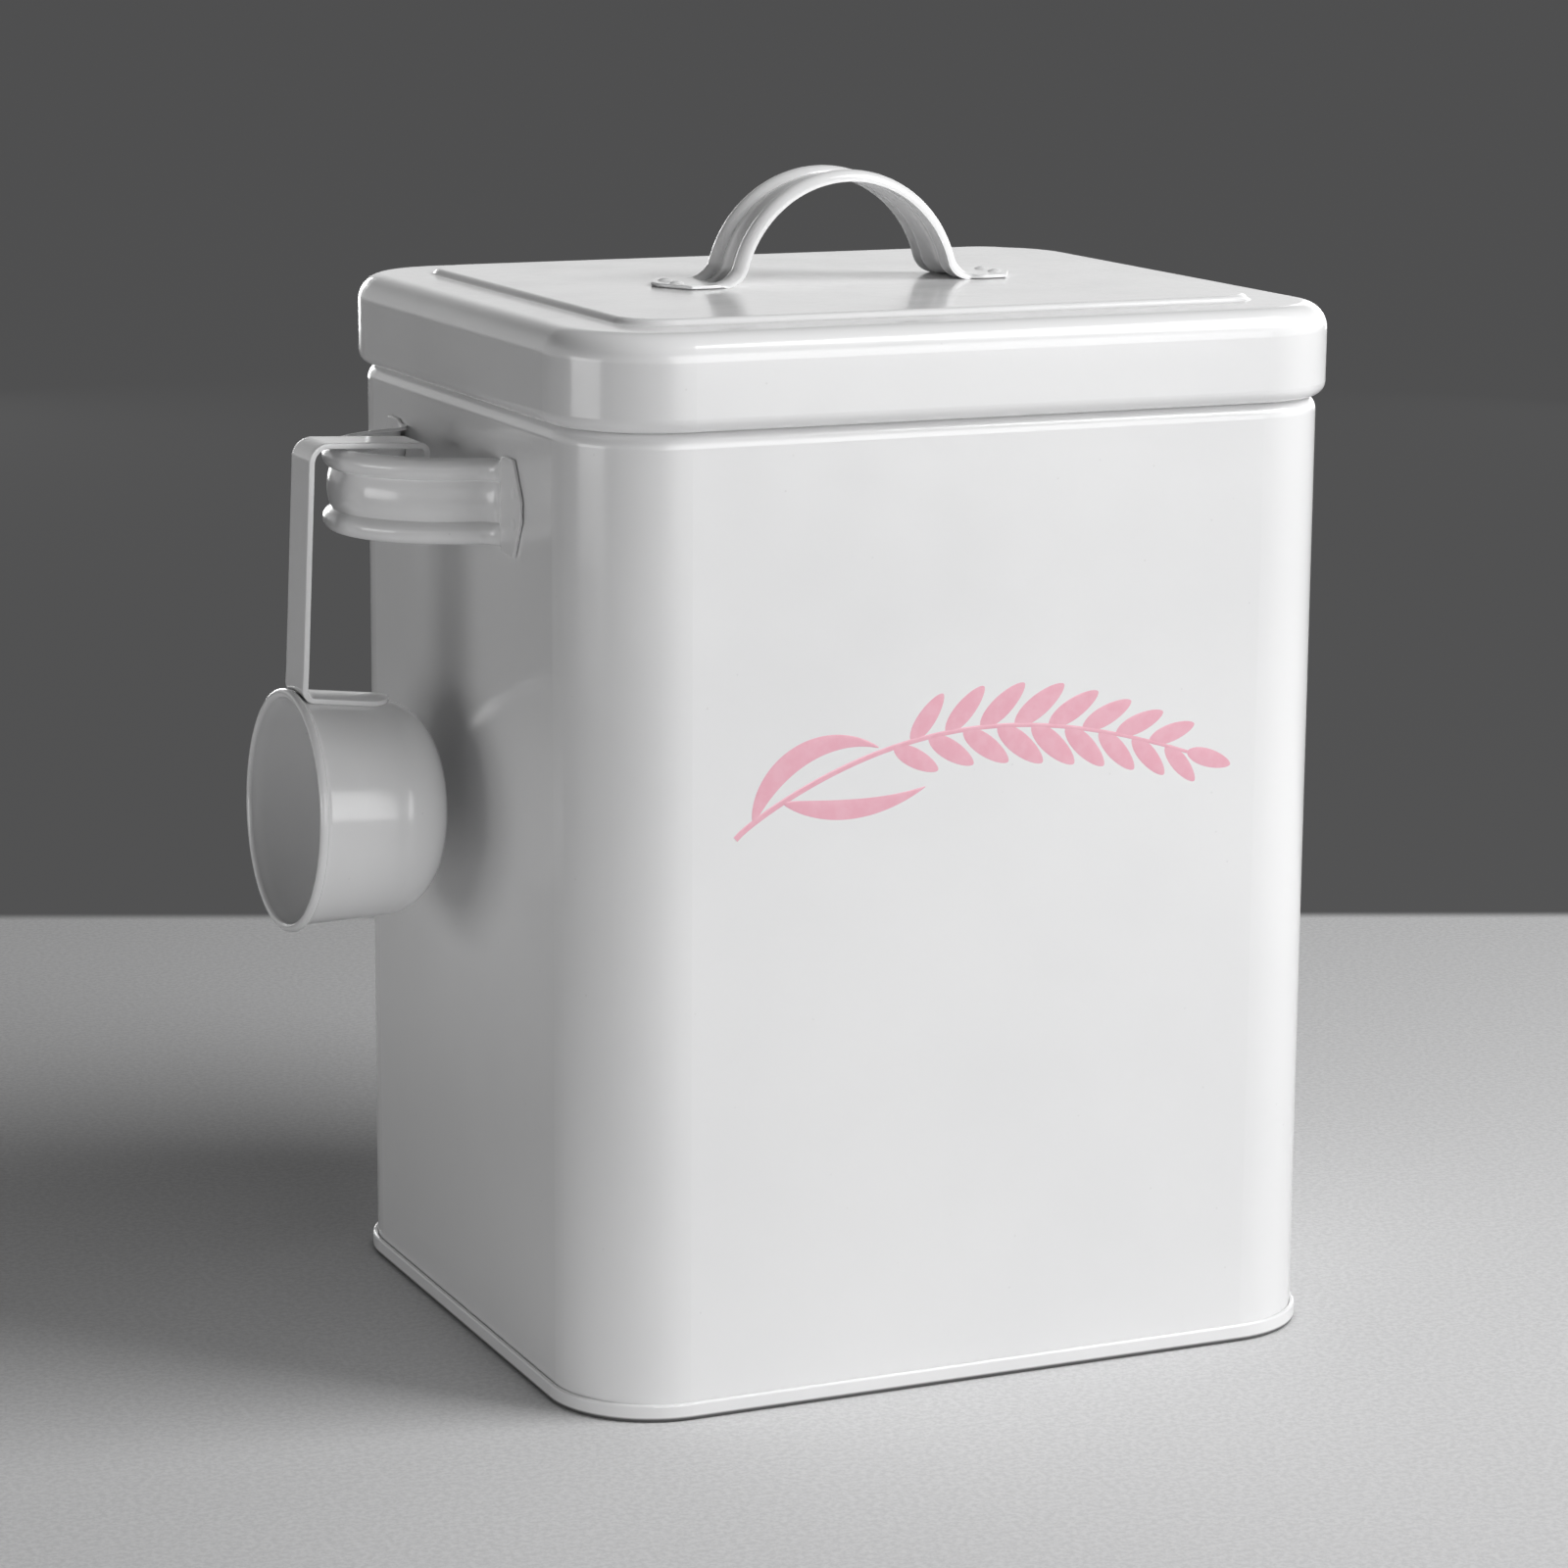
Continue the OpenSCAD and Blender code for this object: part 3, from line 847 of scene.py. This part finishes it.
@dataclass
class Cup:
    """The scoop's drawn cup: tapered wall, rounded bottom edge and turned-out lip. Sizes in millimetres.

    Attributes:
        rim_x: Place of its mouth across the bin.
        axis_z: Height of its axis, which points along +X.
        mouth_r: Outer radius of the wall at the mouth.
        depth: Depth over its bottom.
        wall: Thickness of its wall.
        draft: Angle in degrees at which the wall draws in.
        edge_r: Outer radius of the rounded bottom edge.
        lip_r: Radius of the lip round the mouth.
        steps: Points round the cup.
        flat_rings: Radii of the rings on the flat bottom, as shares of its radius.
        lip_arc: Angles in degrees from the lip's inner side, over the mouth, to its back.
        wall_from: Depths at which the straight wall starts, inside and outside.
        fill: How far the corner of the fill behind the lip lies out from the wall, and below the lip.
    """

    rim_x: float = -140.964
    axis_z: float = 135.6
    mouth_r: float = 28.6
    depth: float = 37.0
    wall: float = 0.8
    draft: float = 4.0
    edge_r: float = 13.0
    lip_r: float = 1.1
    steps: int = 192
    flat_rings: tuple[float, ...] = (0.8, 0.6, 0.4, 0.2, 0.05)
    lip_arc: Span = (170.0, 415.0)
    wall_from: Span = (2.2, 3.4)
    fill: Span = (0.05, 0.5)

    def bottom_edge(self, inset: float) -> np.ndarray:
        """The wall's end, the rounded edge and the flat bottom, from the side to the axis.

        The edge is an arc about a fixed middle, whose radius is edge_r less inset, from -draft to a
        right angle.

        Args:
            inset: 0 for the outside, and the wall's thickness for the inside.

        Returns:
            Rows of radius and depth. The last lies near the axis.
        """
        draft = math.radians(self.draft)
        mid_y = self.depth - self.edge_r
        mid_x = self.mouth_r - mid_y * math.tan(draft) - self.edge_r / math.cos(draft)
        a = np.linspace(-draft, math.pi / 2, 30)
        r = self.edge_r - inset
        arc = np.stack([mid_x + r * np.cos(a), mid_y + r * np.sin(a)], 1)
        flat = mid_x * np.array(self.flat_rings)
        return np.concatenate([arc, np.stack([flat, 0 * flat + self.depth - inset], 1)])

    def profile(self) -> np.ndarray:
        """The cup's section from the inner bottom, over the lip, to the outer bottom.

        Inside it follows the wall up to the lip. The lip is a circle from its inner side, over the
        mouth, to its back, and a quadratic curve fills the corner between its back and the wall.

        Returns:
            Rows of radius and depth.
        """
        slope = math.tan(math.radians(self.draft))
        inner_from, outer_from = self.wall_from
        inner = self.bottom_edge(self.wall)[::-1]
        deep = np.linspace(inner[-1, 1], inner_from, 12)[1:]
        inner_wall = np.stack([inner[-1, 0] + (inner[-1, 1] - deep) * slope, deep], 1)
        ring = self.mouth_r + self.lip_r - self.wall
        a = np.radians(np.linspace(*self.lip_arc, 26))
        lip = np.stack([ring + self.lip_r * np.cos(a), self.lip_r * (1 + np.sin(a))], 1)
        start, end = lip[-1], np.array([self.mouth_r - outer_from * slope, outer_from])
        corner = np.array([end[0] + self.fill[0], start[1] + self.fill[1]])
        t = np.linspace(0.0, 1.0, 9)[1:, np.newaxis]
        fillet = (1 - t) ** 2 * start + 2 * t * (1 - t) * corner + t * t * end
        outer = self.bottom_edge(0.0)
        deep = np.linspace(outer_from, outer[0, 1], 12)[1:-1]
        outer_wall = np.stack([self.mouth_r - deep * slope, deep], 1)
        return np.concatenate([inner, inner_wall, lip, fillet, outer_wall, outer])

    def shell(self, lean: Lean) -> Shell:
        """Turns the profile round the axis: y = r cos(turn) and z = axis + r sin(turn).

        Args:
            lean: The scoop's lean.

        Returns:
            The closed cup, whose two ends shut on the axis.
        """
        profile = self.profile()
        turn = np.linspace(0.0, 2 * math.pi, self.steps, endpoint=False)[np.newaxis, :]
        r = profile[:, 0:1]
        grid = np.stack([self.rim_x + profile[:, 1:2] + 0 * turn, r * np.cos(turn),
                         self.axis_z + r * np.sin(turn)], -1)
        return Shell.tube(lean.apply(grid))


@dataclass
class HookStrap:
    """The scoop's strap: a saddle on the cup, a riser, a hook and its tip. Sizes in millimetres.

    Attributes:
        riser_x: Place of the riser's outer face across the bin.
        width: Width of the strap.
        thick: Its thickness.
        edge_r: Radius of its four long edges.
        tab_len: Length of the saddle from the riser's outer face.
        tab_bend_r: Outer radius of the bend between saddle and riser.
        tab_gap: Running gap between saddle and cup.
        hook_bend_r: Outer radius of the bend at the top of the riser.
        hook_z: Height of the hook's underside.
        run: Straight length of the hook.
        tip_bend_r: Outer radius of the bend to the tip.
        tip: Straight length of the tip.
        round_end: Angles in degrees round the saddle's end, close where it is narrowest.
        level_run: Length over which the saddle turns from the level to the cup's slope.
        tip_round: Height of the tip's round corners, and what each takes off the width.
        wrap_run: Distances along the strap past the saddle between which its wrap is gone and full.
        inset_most: Greatest share of the half width that the round edges take.
        end_t: Share of its thickness that it keeps where it is narrowest.
    """

    riser_x: float = -138.764
    width: float = 14.0
    thick: float = 1.4
    edge_r: float = 0.3
    tab_len: float = 24.0
    tab_bend_r: float = 3.0
    tab_gap: float = 0.03
    hook_bend_r: float = 5.0
    hook_z: float = Lean.z
    run: float = 23.3
    tip_bend_r: float = 2.4
    tip: float = 6.6
    round_end: tuple[float, float, float] = (86.0, 83.0, 79.0)
    level_run: float = 3.0
    tip_round: Span = (1.2, 0.8)
    wrap_run: Span = (6.5, -0.5)
    inset_most: float = 0.9
    end_t: float = 0.75

    def path(self, cup: Cup) -> tuple[np.ndarray, np.ndarray]:
        """The strap's middle line from the saddle's rounded end to the hook's tip, in the XZ plane.

        On the saddle it lies the gap and half a thickness over the cup's side. Bend, riser, bend,
        hook, bend and tip follow, as arcs about each bend's middle and straight runs between them.

        Args:
            cup: The cup that it is fixed to.

        Returns:
            Rows of x and z, and the half width at each.
        """
        half_t, half_w = self.thick / 2, self.width / 2
        bend_x = self.riser_x + self.tab_bend_r
        slope = math.tan(math.radians(cup.draft))
        side = cup.mouth_r - (bend_x - cup.rim_x) * slope
        tab_z = cup.axis_z + side + self.tab_gap
        round_x = self.riser_x + self.tab_len - half_w
        swing = np.radians([*self.round_end[:2], *np.linspace(self.round_end[2], 0.0, 20)])
        straight_x = np.linspace(round_x, bend_x, 15)[1:]
        tab_x = np.concatenate([round_x + half_w * np.sin(swing), straight_x])
        half = np.concatenate([half_w * np.cos(swing), np.full(len(straight_x), half_w)])
        level = smooth_step(tab_x, bend_x, bend_x + self.level_run)
        tab = np.stack([tab_x, tab_z + half_t - level * (tab_x - bend_x) * slope], 1)

        def arc(x: float, z: float, r: float, start: float, end: float) -> np.ndarray:
            """Points of an arc about (x, z), after its first, with angles in degrees."""
            a = np.radians(np.linspace(start, end, 15)[1:])
            return np.stack([x + r * np.cos(a), z + r * np.sin(a)], 1)

        def straight(start: np.ndarray, step_x: float, step_z: float) -> np.ndarray:
            """Points of a straight run, after its first."""
            t = np.linspace(0.0, 1.0, 13)[1:, np.newaxis]
            return start + t * np.array([step_x, step_z])

        top = self.hook_z + self.thick
        parts = [tab, arc(bend_x, tab_z + self.tab_bend_r, self.tab_bend_r - half_t, 270.0, 180.0)]
        parts.append(straight(parts[-1][-1], 0.0, top - self.hook_bend_r - tab_z - self.tab_bend_r))
        parts.append(arc(self.riser_x + self.hook_bend_r, top - self.hook_bend_r,
                         self.hook_bend_r - half_t, 180.0, 90.0))
        parts.append(straight(parts[-1][-1], self.run, 0.0))
        parts.append(arc(parts[-1][-1, 0], top - self.tip_bend_r, self.tip_bend_r - half_t, 90.0, 0.0))
        parts.append(straight(parts[-1][-1], 0.0, -self.tip))
        line = np.concatenate(parts)
        half = np.concatenate([half, np.full(len(line) - len(half), half_w)])
        on_tip = line[:, 0] > line[-1, 0] - HAIR
        return line, half - on_tip * round_off(line[:, 1] - line[-1, 1], *self.tip_round)

    def ring(self) -> tuple[np.ndarray, np.ndarray]:
        """The strap's section as a rectangle with round corners.

        Returns:
            For each point round it: its side, -1 to 1, with its inset in millimetres from that
            side as a second column, and its height over the middle line.
        """
        corner = np.radians(np.linspace(0.0, 90.0, 6))
        r, t = self.edge_r, self.thick / 2
        cut, high = r * (1 - np.cos(corner)), t - r + r * np.sin(corner)
        flat = np.linspace(1.0, -1.0, 15)[1:-1]
        right = np.stack([np.ones(len(cut)), cut], 1)
        upper = np.concatenate([right, np.stack([flat, 0 * flat + r], 1), right[::-1] * (-1.0, 1.0)])
        height = np.concatenate([high, 0 * flat + t, high[::-1]])
        return np.concatenate([upper, upper[::-1]]), np.concatenate([height, -height[::-1]])

    def shell(self, cup: Cup, lean: Lean) -> Shell:
        """Carries the section along the path, and wraps it round the cup on the saddle.

        At a share c of the wrap, a point y across turns by c y / R, sinks by R (1 - cos) towards
        the cup, and its height lies along the turned normal. c falls from 1 to 0 over the bend.

        Args:
            cup: The cup that it is fixed to.
            lean: The scoop's lean.

        Returns:
            The closed strap.
        """
        line, half = self.path(cup)
        x, z, half = line[:, 0:1], line[:, 1:2], half[:, np.newaxis]
        step = steps_along(line)
        length = np.concatenate([[0.0], np.cumsum(np.hypot(*np.diff(line, axis=0).T))])
        saddle = self.tab_len - self.tab_bend_r
        gone, full = self.wrap_run
        wrap = smooth_step(length, saddle + gone, saddle + full)[:, np.newaxis]
        sides, height = self.ring()
        y = sides[:, 0] * (half - np.minimum(sides[:, 1], self.inset_most * half))
        narrow = np.minimum(half / (self.width / 2), 1.0)
        lift = height[np.newaxis, :] * (self.end_t + (1 - self.end_t) * np.sqrt(narrow))
        radius = cup.mouth_r
        turn = wrap * y / radius
        out = radius * (1 - np.cos(turn)) + lift * np.cos(turn)
        swung = np.where(wrap > 0, radius * np.sin(turn) / np.maximum(wrap, TINY), y)
        across = swung - lift * np.sin(turn)
        grid = np.stack([x - step[:, 1:2] * out, across, z + step[:, 0:1] * out], -1)
        return Shell.tube(lean.apply(grid))


@dataclass
class Scoop:
    """The measuring scoop: a cup welded to a hook strap.

    Attributes:
        cup: Its cup.
        strap: Its strap.
        lean: How it hangs.
    """

    cup: Cup = field(default_factory=Cup)
    strap: HookStrap = field(default_factory=HookStrap)
    lean: Lean = field(default_factory=Lean)

    def build(self) -> list[bpy.types.Object]:
        """Makes both pieces, dresses them, and lets them stand for their nodes.

        Returns:
            The two pieces.
        """
        parts = [
            (self.cup.shell(self.lean), "scoop_cup", "scoop_cup_enamel",
             Enamel("scoop_cup_enamel", sway=0.00005)),
            (self.strap.shell(self.cup, self.lean), "scoop_handle", "scoop_strap_enamel",
             Enamel("scoop_strap_enamel", sway=0.00003)),
        ]
        pieces = []
        for shell, node, slot, enamel in parts:
            piece = shell.object(node + "_form")
            piece.data.materials.append(enamel.material())
            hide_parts(node)
            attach(piece, "scoop")
            pieces.append(piece)
        return pieces


# ---- print on the front ----

@dataclass(frozen=True)
class Blade:
    """A long leaf that leaves the stalk. Lengths in millimetres, angles in radians.

    Attributes:
        at: Its root along the stalk, 0 to 1.
        first: Its direction at the root.
        last: Its direction at the tip.
        span: Its length.
        wide: Half its greatest width, less what it keeps at its ends.
    """

    at: float
    first: float
    last: float
    span: float
    wide: float


@dataclass
class GrainPrint:
    """A generic ear of rice across the front: stalk, blades and grains. Lengths in millimetres.

    Attributes:
        face_y: The wall that it is printed on.
        left: Where the stalk starts.
        right: Where the ear ends.
        foot_z: Height at which the stalk starts.
        bow: How far the stalk bows up.
        bow_end: How much of a half wave the bow has.
        bow_skew: Power that moves the bow's top to the left.
        stalk_half: Half width of the stalk at its start, and what it loses to its end.
        blades: Its long leaves.
        blade_rim: Half width that a blade keeps at its ends.
        blade_powers: Powers that draw a blade's belly to its root, and fill it.
        ear: Where along the stalk the grains start and end.
        grains: Number of grains along it.
        spread: Angle in radians between the first grain and the stalk, and what each next one loses.
        thickest: Where along the stalk the grains are largest.
        shrink: What a grain loses in size with its distance from there.
        last_size: Size of the grain at the end.
        grain_len: Length of a grain.
        grain_wide: Width of a grain.
        grain_taper: Share of its width that it loses to its far end.
        grain_point: Power that draws its ends to points.
        proud: How far the glaze stands out.
        sunk: How far its back lies inside the wall.
        rings: Shares of a drop's outline at which its rings lie, back first, then rim to middle.
        band: Shares of a band's half width at which its points lie: seven on its face, two behind.
    """

    face_y: float = -88.0
    left: float = -64.0
    right: float = 56.0
    foot_z: float = 141.0
    bow: float = 22.1
    bow_end: float = 0.82
    bow_skew: float = 0.85
    stalk_half: Span = (0.75, 0.35)
    blades: tuple[Blade, ...] = (
        Blade(0.04, 1.35, -0.40, 41.0, 2.6),
        Blade(0.10, -0.35, 0.38, 38.0, 2.3),
    )
    blade_rim: float = 0.12
    blade_powers: Span = (0.8, 0.9)
    ear: Span = (0.34, 0.95)
    grains: int = 17
    spread: Span = (0.74, 0.012)
    thickest: float = 0.6
    shrink: float = 0.625
    last_size: float = 0.8
    grain_len: float = 16.0
    grain_wide: float = 6.2
    grain_taper: float = 0.22
    grain_point: float = 0.15
    proud: float = 0.05
    sunk: float = 0.1
    rings: tuple[float, ...] = (1.0, 1.0, 0.97, 0.92, 0.75, 0.4, 0.02)
    band: tuple[float, ...] = (-1.0, -0.9, -0.5, 0.0, 0.5, 0.9, 1.0, 1.0, -1.0)

    def stalk(self, t: np.ndarray) -> tuple[np.ndarray, np.ndarray, np.ndarray]:
        """The stalk's middle line: even steps across, and foot_z + bow sin(pi bow_end t^bow_skew) up.

        Args:
            t: 0 at its start to 1 at its end.

        Returns:
            Place across, height, and the angle of its direction.
        """
        x = self.left + (self.right - self.left) * t
        z = self.foot_z + self.bow * np.sin(math.pi * t ** self.bow_skew * self.bow_end)
        return x, z, np.arctan(np.gradient(z, x))

    def dome(self, outline: np.ndarray) -> Shell:
        """A flat drop of glaze with a softly domed face.

        Rings of the outline close in on its middle as rho falls from 1 to 0, and the face stands
        proud by proud (1 - rho^6). The back is the outline, set into the wall.

        Args:
            outline: Points across and up, round the drop.

        Returns:
            The closed drop.
        """
        rho = np.array(self.rings)
        out = np.concatenate([[-self.sunk], self.proud * (1 - rho[1:] ** 6)])
        mid = outline.mean(0)
        flat = mid + (outline - mid) * rho[:, np.newaxis, np.newaxis]
        y = self.face_y - np.broadcast_to(out[:, np.newaxis], flat.shape[:2])
        return Shell.tube(np.stack([flat[..., 0], y, flat[..., 1]], -1))

    def ribbon(self, x: np.ndarray, z: np.ndarray, half: np.ndarray) -> Shell:
        """A band of glaze along a curve, whose section is a low dome, proud by proud (1 - s^4).

        Args:
            x: Its middle line across.
            z: Its middle line up.
            half: Its half width at each point.

        Returns:
            The closed band.
        """
        step = steps_along(np.stack([x, z], 1))
        side = half[:, np.newaxis] * self.band
        face = self.proud * (1 - np.array(self.band[:7]) ** 4)
        y = self.face_y - np.concatenate([face, [-self.sunk, -self.sunk]])
        across, up = x[:, np.newaxis] - step[:, 1:2] * side, z[:, np.newaxis] + step[:, 0:1] * side
        return Shell.tube(np.stack([across, np.broadcast_to(y, side.shape), up], -1))

    def blade(self, look: Blade, x: float, z: float) -> Shell:
        """A blade whose direction turns evenly, with half width rim + wide sin(pi u^p)^q.

        Args:
            look: Its shape.
            x: Its root across.
            z: Its root up.

        Returns:
            The closed blade.
        """
        u = np.linspace(0.0, 1.0, 41)
        lean = (look.first + (look.last - look.first) * u)[1:]
        step = look.span / len(lean)
        across, up = (np.concatenate([[0.0], np.cumsum(part(lean))]) * step for part in (np.cos, np.sin))
        skew, fill = self.blade_powers
        half = self.blade_rim + look.wide * np.sin(math.pi * u ** skew) ** fill
        return self.ribbon(x + across, z + up, half)

    def grain(self, x: float, z: float, angle: float, size: float) -> Shell:
        """One grain, from its root to its far end, turned to its angle.

        Along it, it goes by length (1 - cos a) / 2. Across it, by half its width times sin a, less
        its taper's share of (1 - cos a) / 2, times |sin a| to a small power that points the ends.

        Args:
            x: Its root across.
            z: Its root up.
            angle: Its direction in radians.
            size: Its size over the usual.

        Returns:
            The closed grain.
        """
        a = np.linspace(0.0, 2 * math.pi, 28, endpoint=False)
        gone = (1 - np.cos(a)) / 2
        along = self.grain_len * size * gone
        wide = self.grain_wide / 2 * size * np.sin(a) * (1.0 - self.grain_taper * gone)
        wide = wide * np.abs(np.sin(a)) ** self.grain_point
        c, s = math.cos(angle), math.sin(angle)
        return self.dome(np.stack([x + along * c - wide * s, z + along * s + wide * c], 1))

    def shell(self) -> Shell:
        """Stalk, blades, and grains on both sides of the ear by turns, with one at its end.

        Returns:
            The whole print.
        """
        t = np.linspace(0.0, 1.0, 81)
        x, z, angle = self.stalk(t)
        thick, lost = self.stalk_half
        parts = [self.ribbon(x, z, thick - lost * t)]
        for look in self.blades:
            root = int(look.at * (len(t) - 1))
            parts.append(self.blade(look, x[root], z[root]))
        wide, less = self.spread
        for n, at in enumerate(np.linspace(*self.ear, self.grains)):
            side = 1.0 if n % 2 else -1.0
            turn = np.interp(at, t, angle) + side * (wide - less * n)
            size = 1.0 - self.shrink * abs(at - self.thickest)
            parts.append(self.grain(np.interp(at, t, x), np.interp(at, t, z), turn, size))
        parts.append(self.grain(x[-1], z[-1], angle[-1], self.last_size))
        return Shell.joined([p.outward() for p in parts])

    def build(self) -> bpy.types.Object:
        """Makes the print and puts it on the bin.

        Returns:
            The piece.
        """
        piece = self.shell().object("grain_print", 60.0)
        piece.data.materials.append(PrintInk().material())
        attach(piece, "bin")
        return piece


# ---- bin and lid ----

def dress_node(node: str, finish: Enamel) -> bpy.types.Object:
    """Gives a CAD node its finish, and leaves its mesh alone.

    Args:
        node: Name of the node.
        finish: Its enamel.

    Returns:
        The node's object.
    """
    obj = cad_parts[node]
    obj.data.materials.clear()
    obj.data.materials.append(finish.material())
    return obj


@dataclass
class Bin:
    """The double-seamed body with its bottom, two side handles and print.

    Attributes:
        handle_leg: Straight length of the side handles' legs, in millimetres.
        weld_mark_r: Radius of the marks that hold their feet.
    """

    handle_leg: float = 4.4
    weld_mark_r: float = 1.5

    def build(self) -> list[bpy.types.Object]:
        """Dresses the shells and makes the handles and the print.

        Returns:
            The pieces that ride on the bin.
        """
        pieces = [
            dress_node("body_shell", Enamel("body_enamel")),
            # The bottom panel's enamel paints near-black contact shade over its lowest 1.4 mm.
            dress_node("bottom_panel", Enamel("bottom_enamel", contact_shade_below=0.0014)),
        ]
        finish = Enamel("side_handle_enamel", sway=0.00003).material()
        for seat in (Seat.LEFT, Seat.RIGHT):
            handle = StrapHandle(seat, self.handle_leg, weld_mark_r=self.weld_mark_r)
            pieces.append(handle.build(finish, "bin", "side_handle_enamel"))
        pieces.append(GrainPrint().build())
        return pieces


@dataclass
class Lid:
    """The lift-off lid with its riveted handle.

    Attributes:
        handle_leg: Straight length of the handle's legs, in millimetres.
    """

    handle_leg: float = 0.5

    def build(self) -> list[bpy.types.Object]:
        """Dresses the shell and the rivets, and makes the handle.

        Returns:
            The pieces that ride on the lid.
        """
        finish = Enamel("lid_handle_enamel", sway=0.00003).material()
        return [
            dress_node("lid_shell", Enamel("lid_enamel")),
            dress_node("lid_rivets", Enamel("rivet_enamel", sway=0.0)),
            StrapHandle(Seat.LID, self.handle_leg).build(finish, "lid", "lid_handle_enamel"),
        ]


# ---- studio ----

@dataclass
class StudioCamera:
    """The camera, found by fitting the bin's outline. Lengths in metres, angles in degrees.

    Attributes:
        azimuth: Its way round the bin from the front, positive towards +X.
        elevation: Its height angle.
        roll: Its roll.
        offset: Its place over the origin: right, up and back along its own axes.
        focal_px: Focal length in pixels of the 1600 pixel frame.
        frame_px: Width of the frame in pixels.
        sensor_mm: Width of its sensor.
        clip_start: Distance from which it sees.
    """

    azimuth: float = -24.097
    elevation: float = 11.845
    roll: float = 0.365
    offset: tuple[float, float, float] = (-0.010373, 0.129335, 1.219399)
    focal_px: float = 4735.207
    frame_px: float = 1600.0
    sensor_mm: float = 36.0
    clip_start: float = 0.05

    def build(self) -> bpy.types.Object:
        """Makes the camera from its angles: back points from the bin to it, and roll turns its axes.

        Returns:
            The camera.
        """
        a, e, r = (math.radians(v) for v in (self.azimuth, self.elevation, self.roll))
        back = Vector((math.sin(a) * math.cos(e), -math.cos(a) * math.cos(e), math.sin(e)))
        level = Vector((math.cos(a), math.sin(a), 0.0))
        above = back.cross(level)
        right = math.cos(r) * level + math.sin(r) * above
        up = math.cos(r) * above - math.sin(r) * level
        place = self.offset[0] * right + self.offset[1] * up + self.offset[2] * back
        camera = linked("camera", bpy.data.cameras.new("camera"))
        camera.data.sensor_width = self.sensor_mm
        camera.data.lens = self.focal_px * self.sensor_mm / self.frame_px
        camera.data.clip_start = self.clip_start
        camera.matrix_world = Matrix((*zip(right, up, back, place), (0.0, 0.0, 0.0, 1.0)))
        bpy.context.scene.camera = camera
        return camera


@dataclass
class SoftBox:
    """A rectangular studio light that points at the bin. Lengths in metres.

    Attributes:
        name: Its name.
        place: Where it hangs.
        size: Its two sides.
        power: Its power in watts.
        aim: The point that it faces.
    """

    name: str
    place: tuple[float, float, float]
    size: tuple[float, float]
    power: float
    aim: tuple[float, float, float] = (0.0, 0.0, 0.13)

    def build(self) -> bpy.types.Object:
        """Makes the light and turns it to its aim.

        Returns:
            The light.
        """
        lamp = bpy.data.lights.new(self.name, "AREA")
        lamp.shape, lamp.energy = "RECTANGLE", self.power
        lamp.size, lamp.size_y = self.size
        obj = linked(self.name, lamp)
        obj.location = self.place
        toward = Vector(self.aim) - Vector(self.place)
        obj.rotation_euler = toward.to_track_quat("-Z", "Y").to_euler()
        return obj


@dataclass
class Studio:
    """Floor, room light and lamps.

    Attributes:
        floor_r: Radius of the floor in metres.
        ambient: Grey of the light that reaches matt surfaces from all round.
        backdrop: Grey that the camera sees past the floor.
        horizon: Grey that gloss mirrors just over the floor.
        overhead: Grey that gloss mirrors higher up.
        band: Sines of the height angles between which the one gives way to the other.
        lamps: The lamps.
    """

    floor_r: float = 14.0
    ambient: Color = (0.02, 0.02, 0.02)
    backdrop: Color = (0.09, 0.09, 0.091)
    horizon: Color = (0.85, 0.85, 0.85)
    overhead: Color = (0.10, 0.10, 0.10)
    band: Span = (0.2, 0.5)
    lamps: tuple[SoftBox, ...] = (
        SoftBox("key_softbox", (0.79, -0.59, 1.09), (0.75, 0.75), 15.0),
        SoftBox("front_fill", (0.42, -1.82, 0.50), (1.2, 0.96), 12.5),
        SoftBox("left_fill", (-1.7, -0.05, 0.21), (1.0, 0.42), 5.0),
        SoftBox("back_light", (0.0, 1.9, 0.34), (0.45, 0.6), 4.5),
        SoftBox("right_light", (1.35, 1.3, 0.40), (0.7, 0.7), 2.0),
    )

    def room(self) -> bpy.types.World:
        """Makes the room's light: dim for matt surfaces, dark for the camera, a pale band in gloss.

        Returns:
            The world.
        """
        world = bpy.data.worlds.new("room")
        world.use_nodes = True
        sheet = NodeSheet(world.node_tree)
        path = sheet.add("ShaderNodeLightPath")
        way = sheet.add("ShaderNodeTexCoord").outputs["Generated"]
        height = sheet.feed(sheet.add("ShaderNodeSeparateXYZ"), {"Vector": way}).outputs["Z"]
        in_gloss = sheet.blend(sheet.ranged(height, self.band), self.horizon, self.overhead)
        seen = sheet.blend(path.outputs["Is Camera Ray"], self.ambient, self.backdrop)
        light = sheet.blend(path.outputs["Is Glossy Ray"], seen, in_gloss)
        sheet.feed(sheet.tree.nodes["Background"], {"Color": light})
        return world

    def build(self) -> None:
        """Makes the floor, a disc at z = 0, the room's light and the lamps."""
        turn = np.linspace(0.0, 2 * math.pi, 96, endpoint=False)
        rim = np.stack([np.cos(turn), np.sin(turn), 0 * turn], 1) * self.floor_r
        mesh = bpy.data.meshes.new("floor")
        mesh.from_pydata(rim.tolist(), [], [list(range(len(rim)))])
        mesh.materials.append(FloorFinish().material())
        floor = linked("floor", mesh)
        bpy.context.scene.world = self.room()
        for lamp in self.lamps:
            lamp.build()
        bpy.context.scene.view_settings.view_transform = "Standard"


def report(pieces: list[bpy.types.Object]) -> None:
    """Logs each piece's name and its count of faces."""
    for piece in pieces:
        log.info("%s: %d faces", piece.name, len(piece.data.polygons))


def main() -> None:
    logging.basicConfig(level=logging.INFO, format="%(name)s %(message)s")
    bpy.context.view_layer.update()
    StudioCamera().build()
    for assembly in (Bin(), Lid(), Scoop()):
        log.info("%s", type(assembly).__name__)
        report(assembly.build())
    Studio().build()


if __name__ == "__main__":
    main()
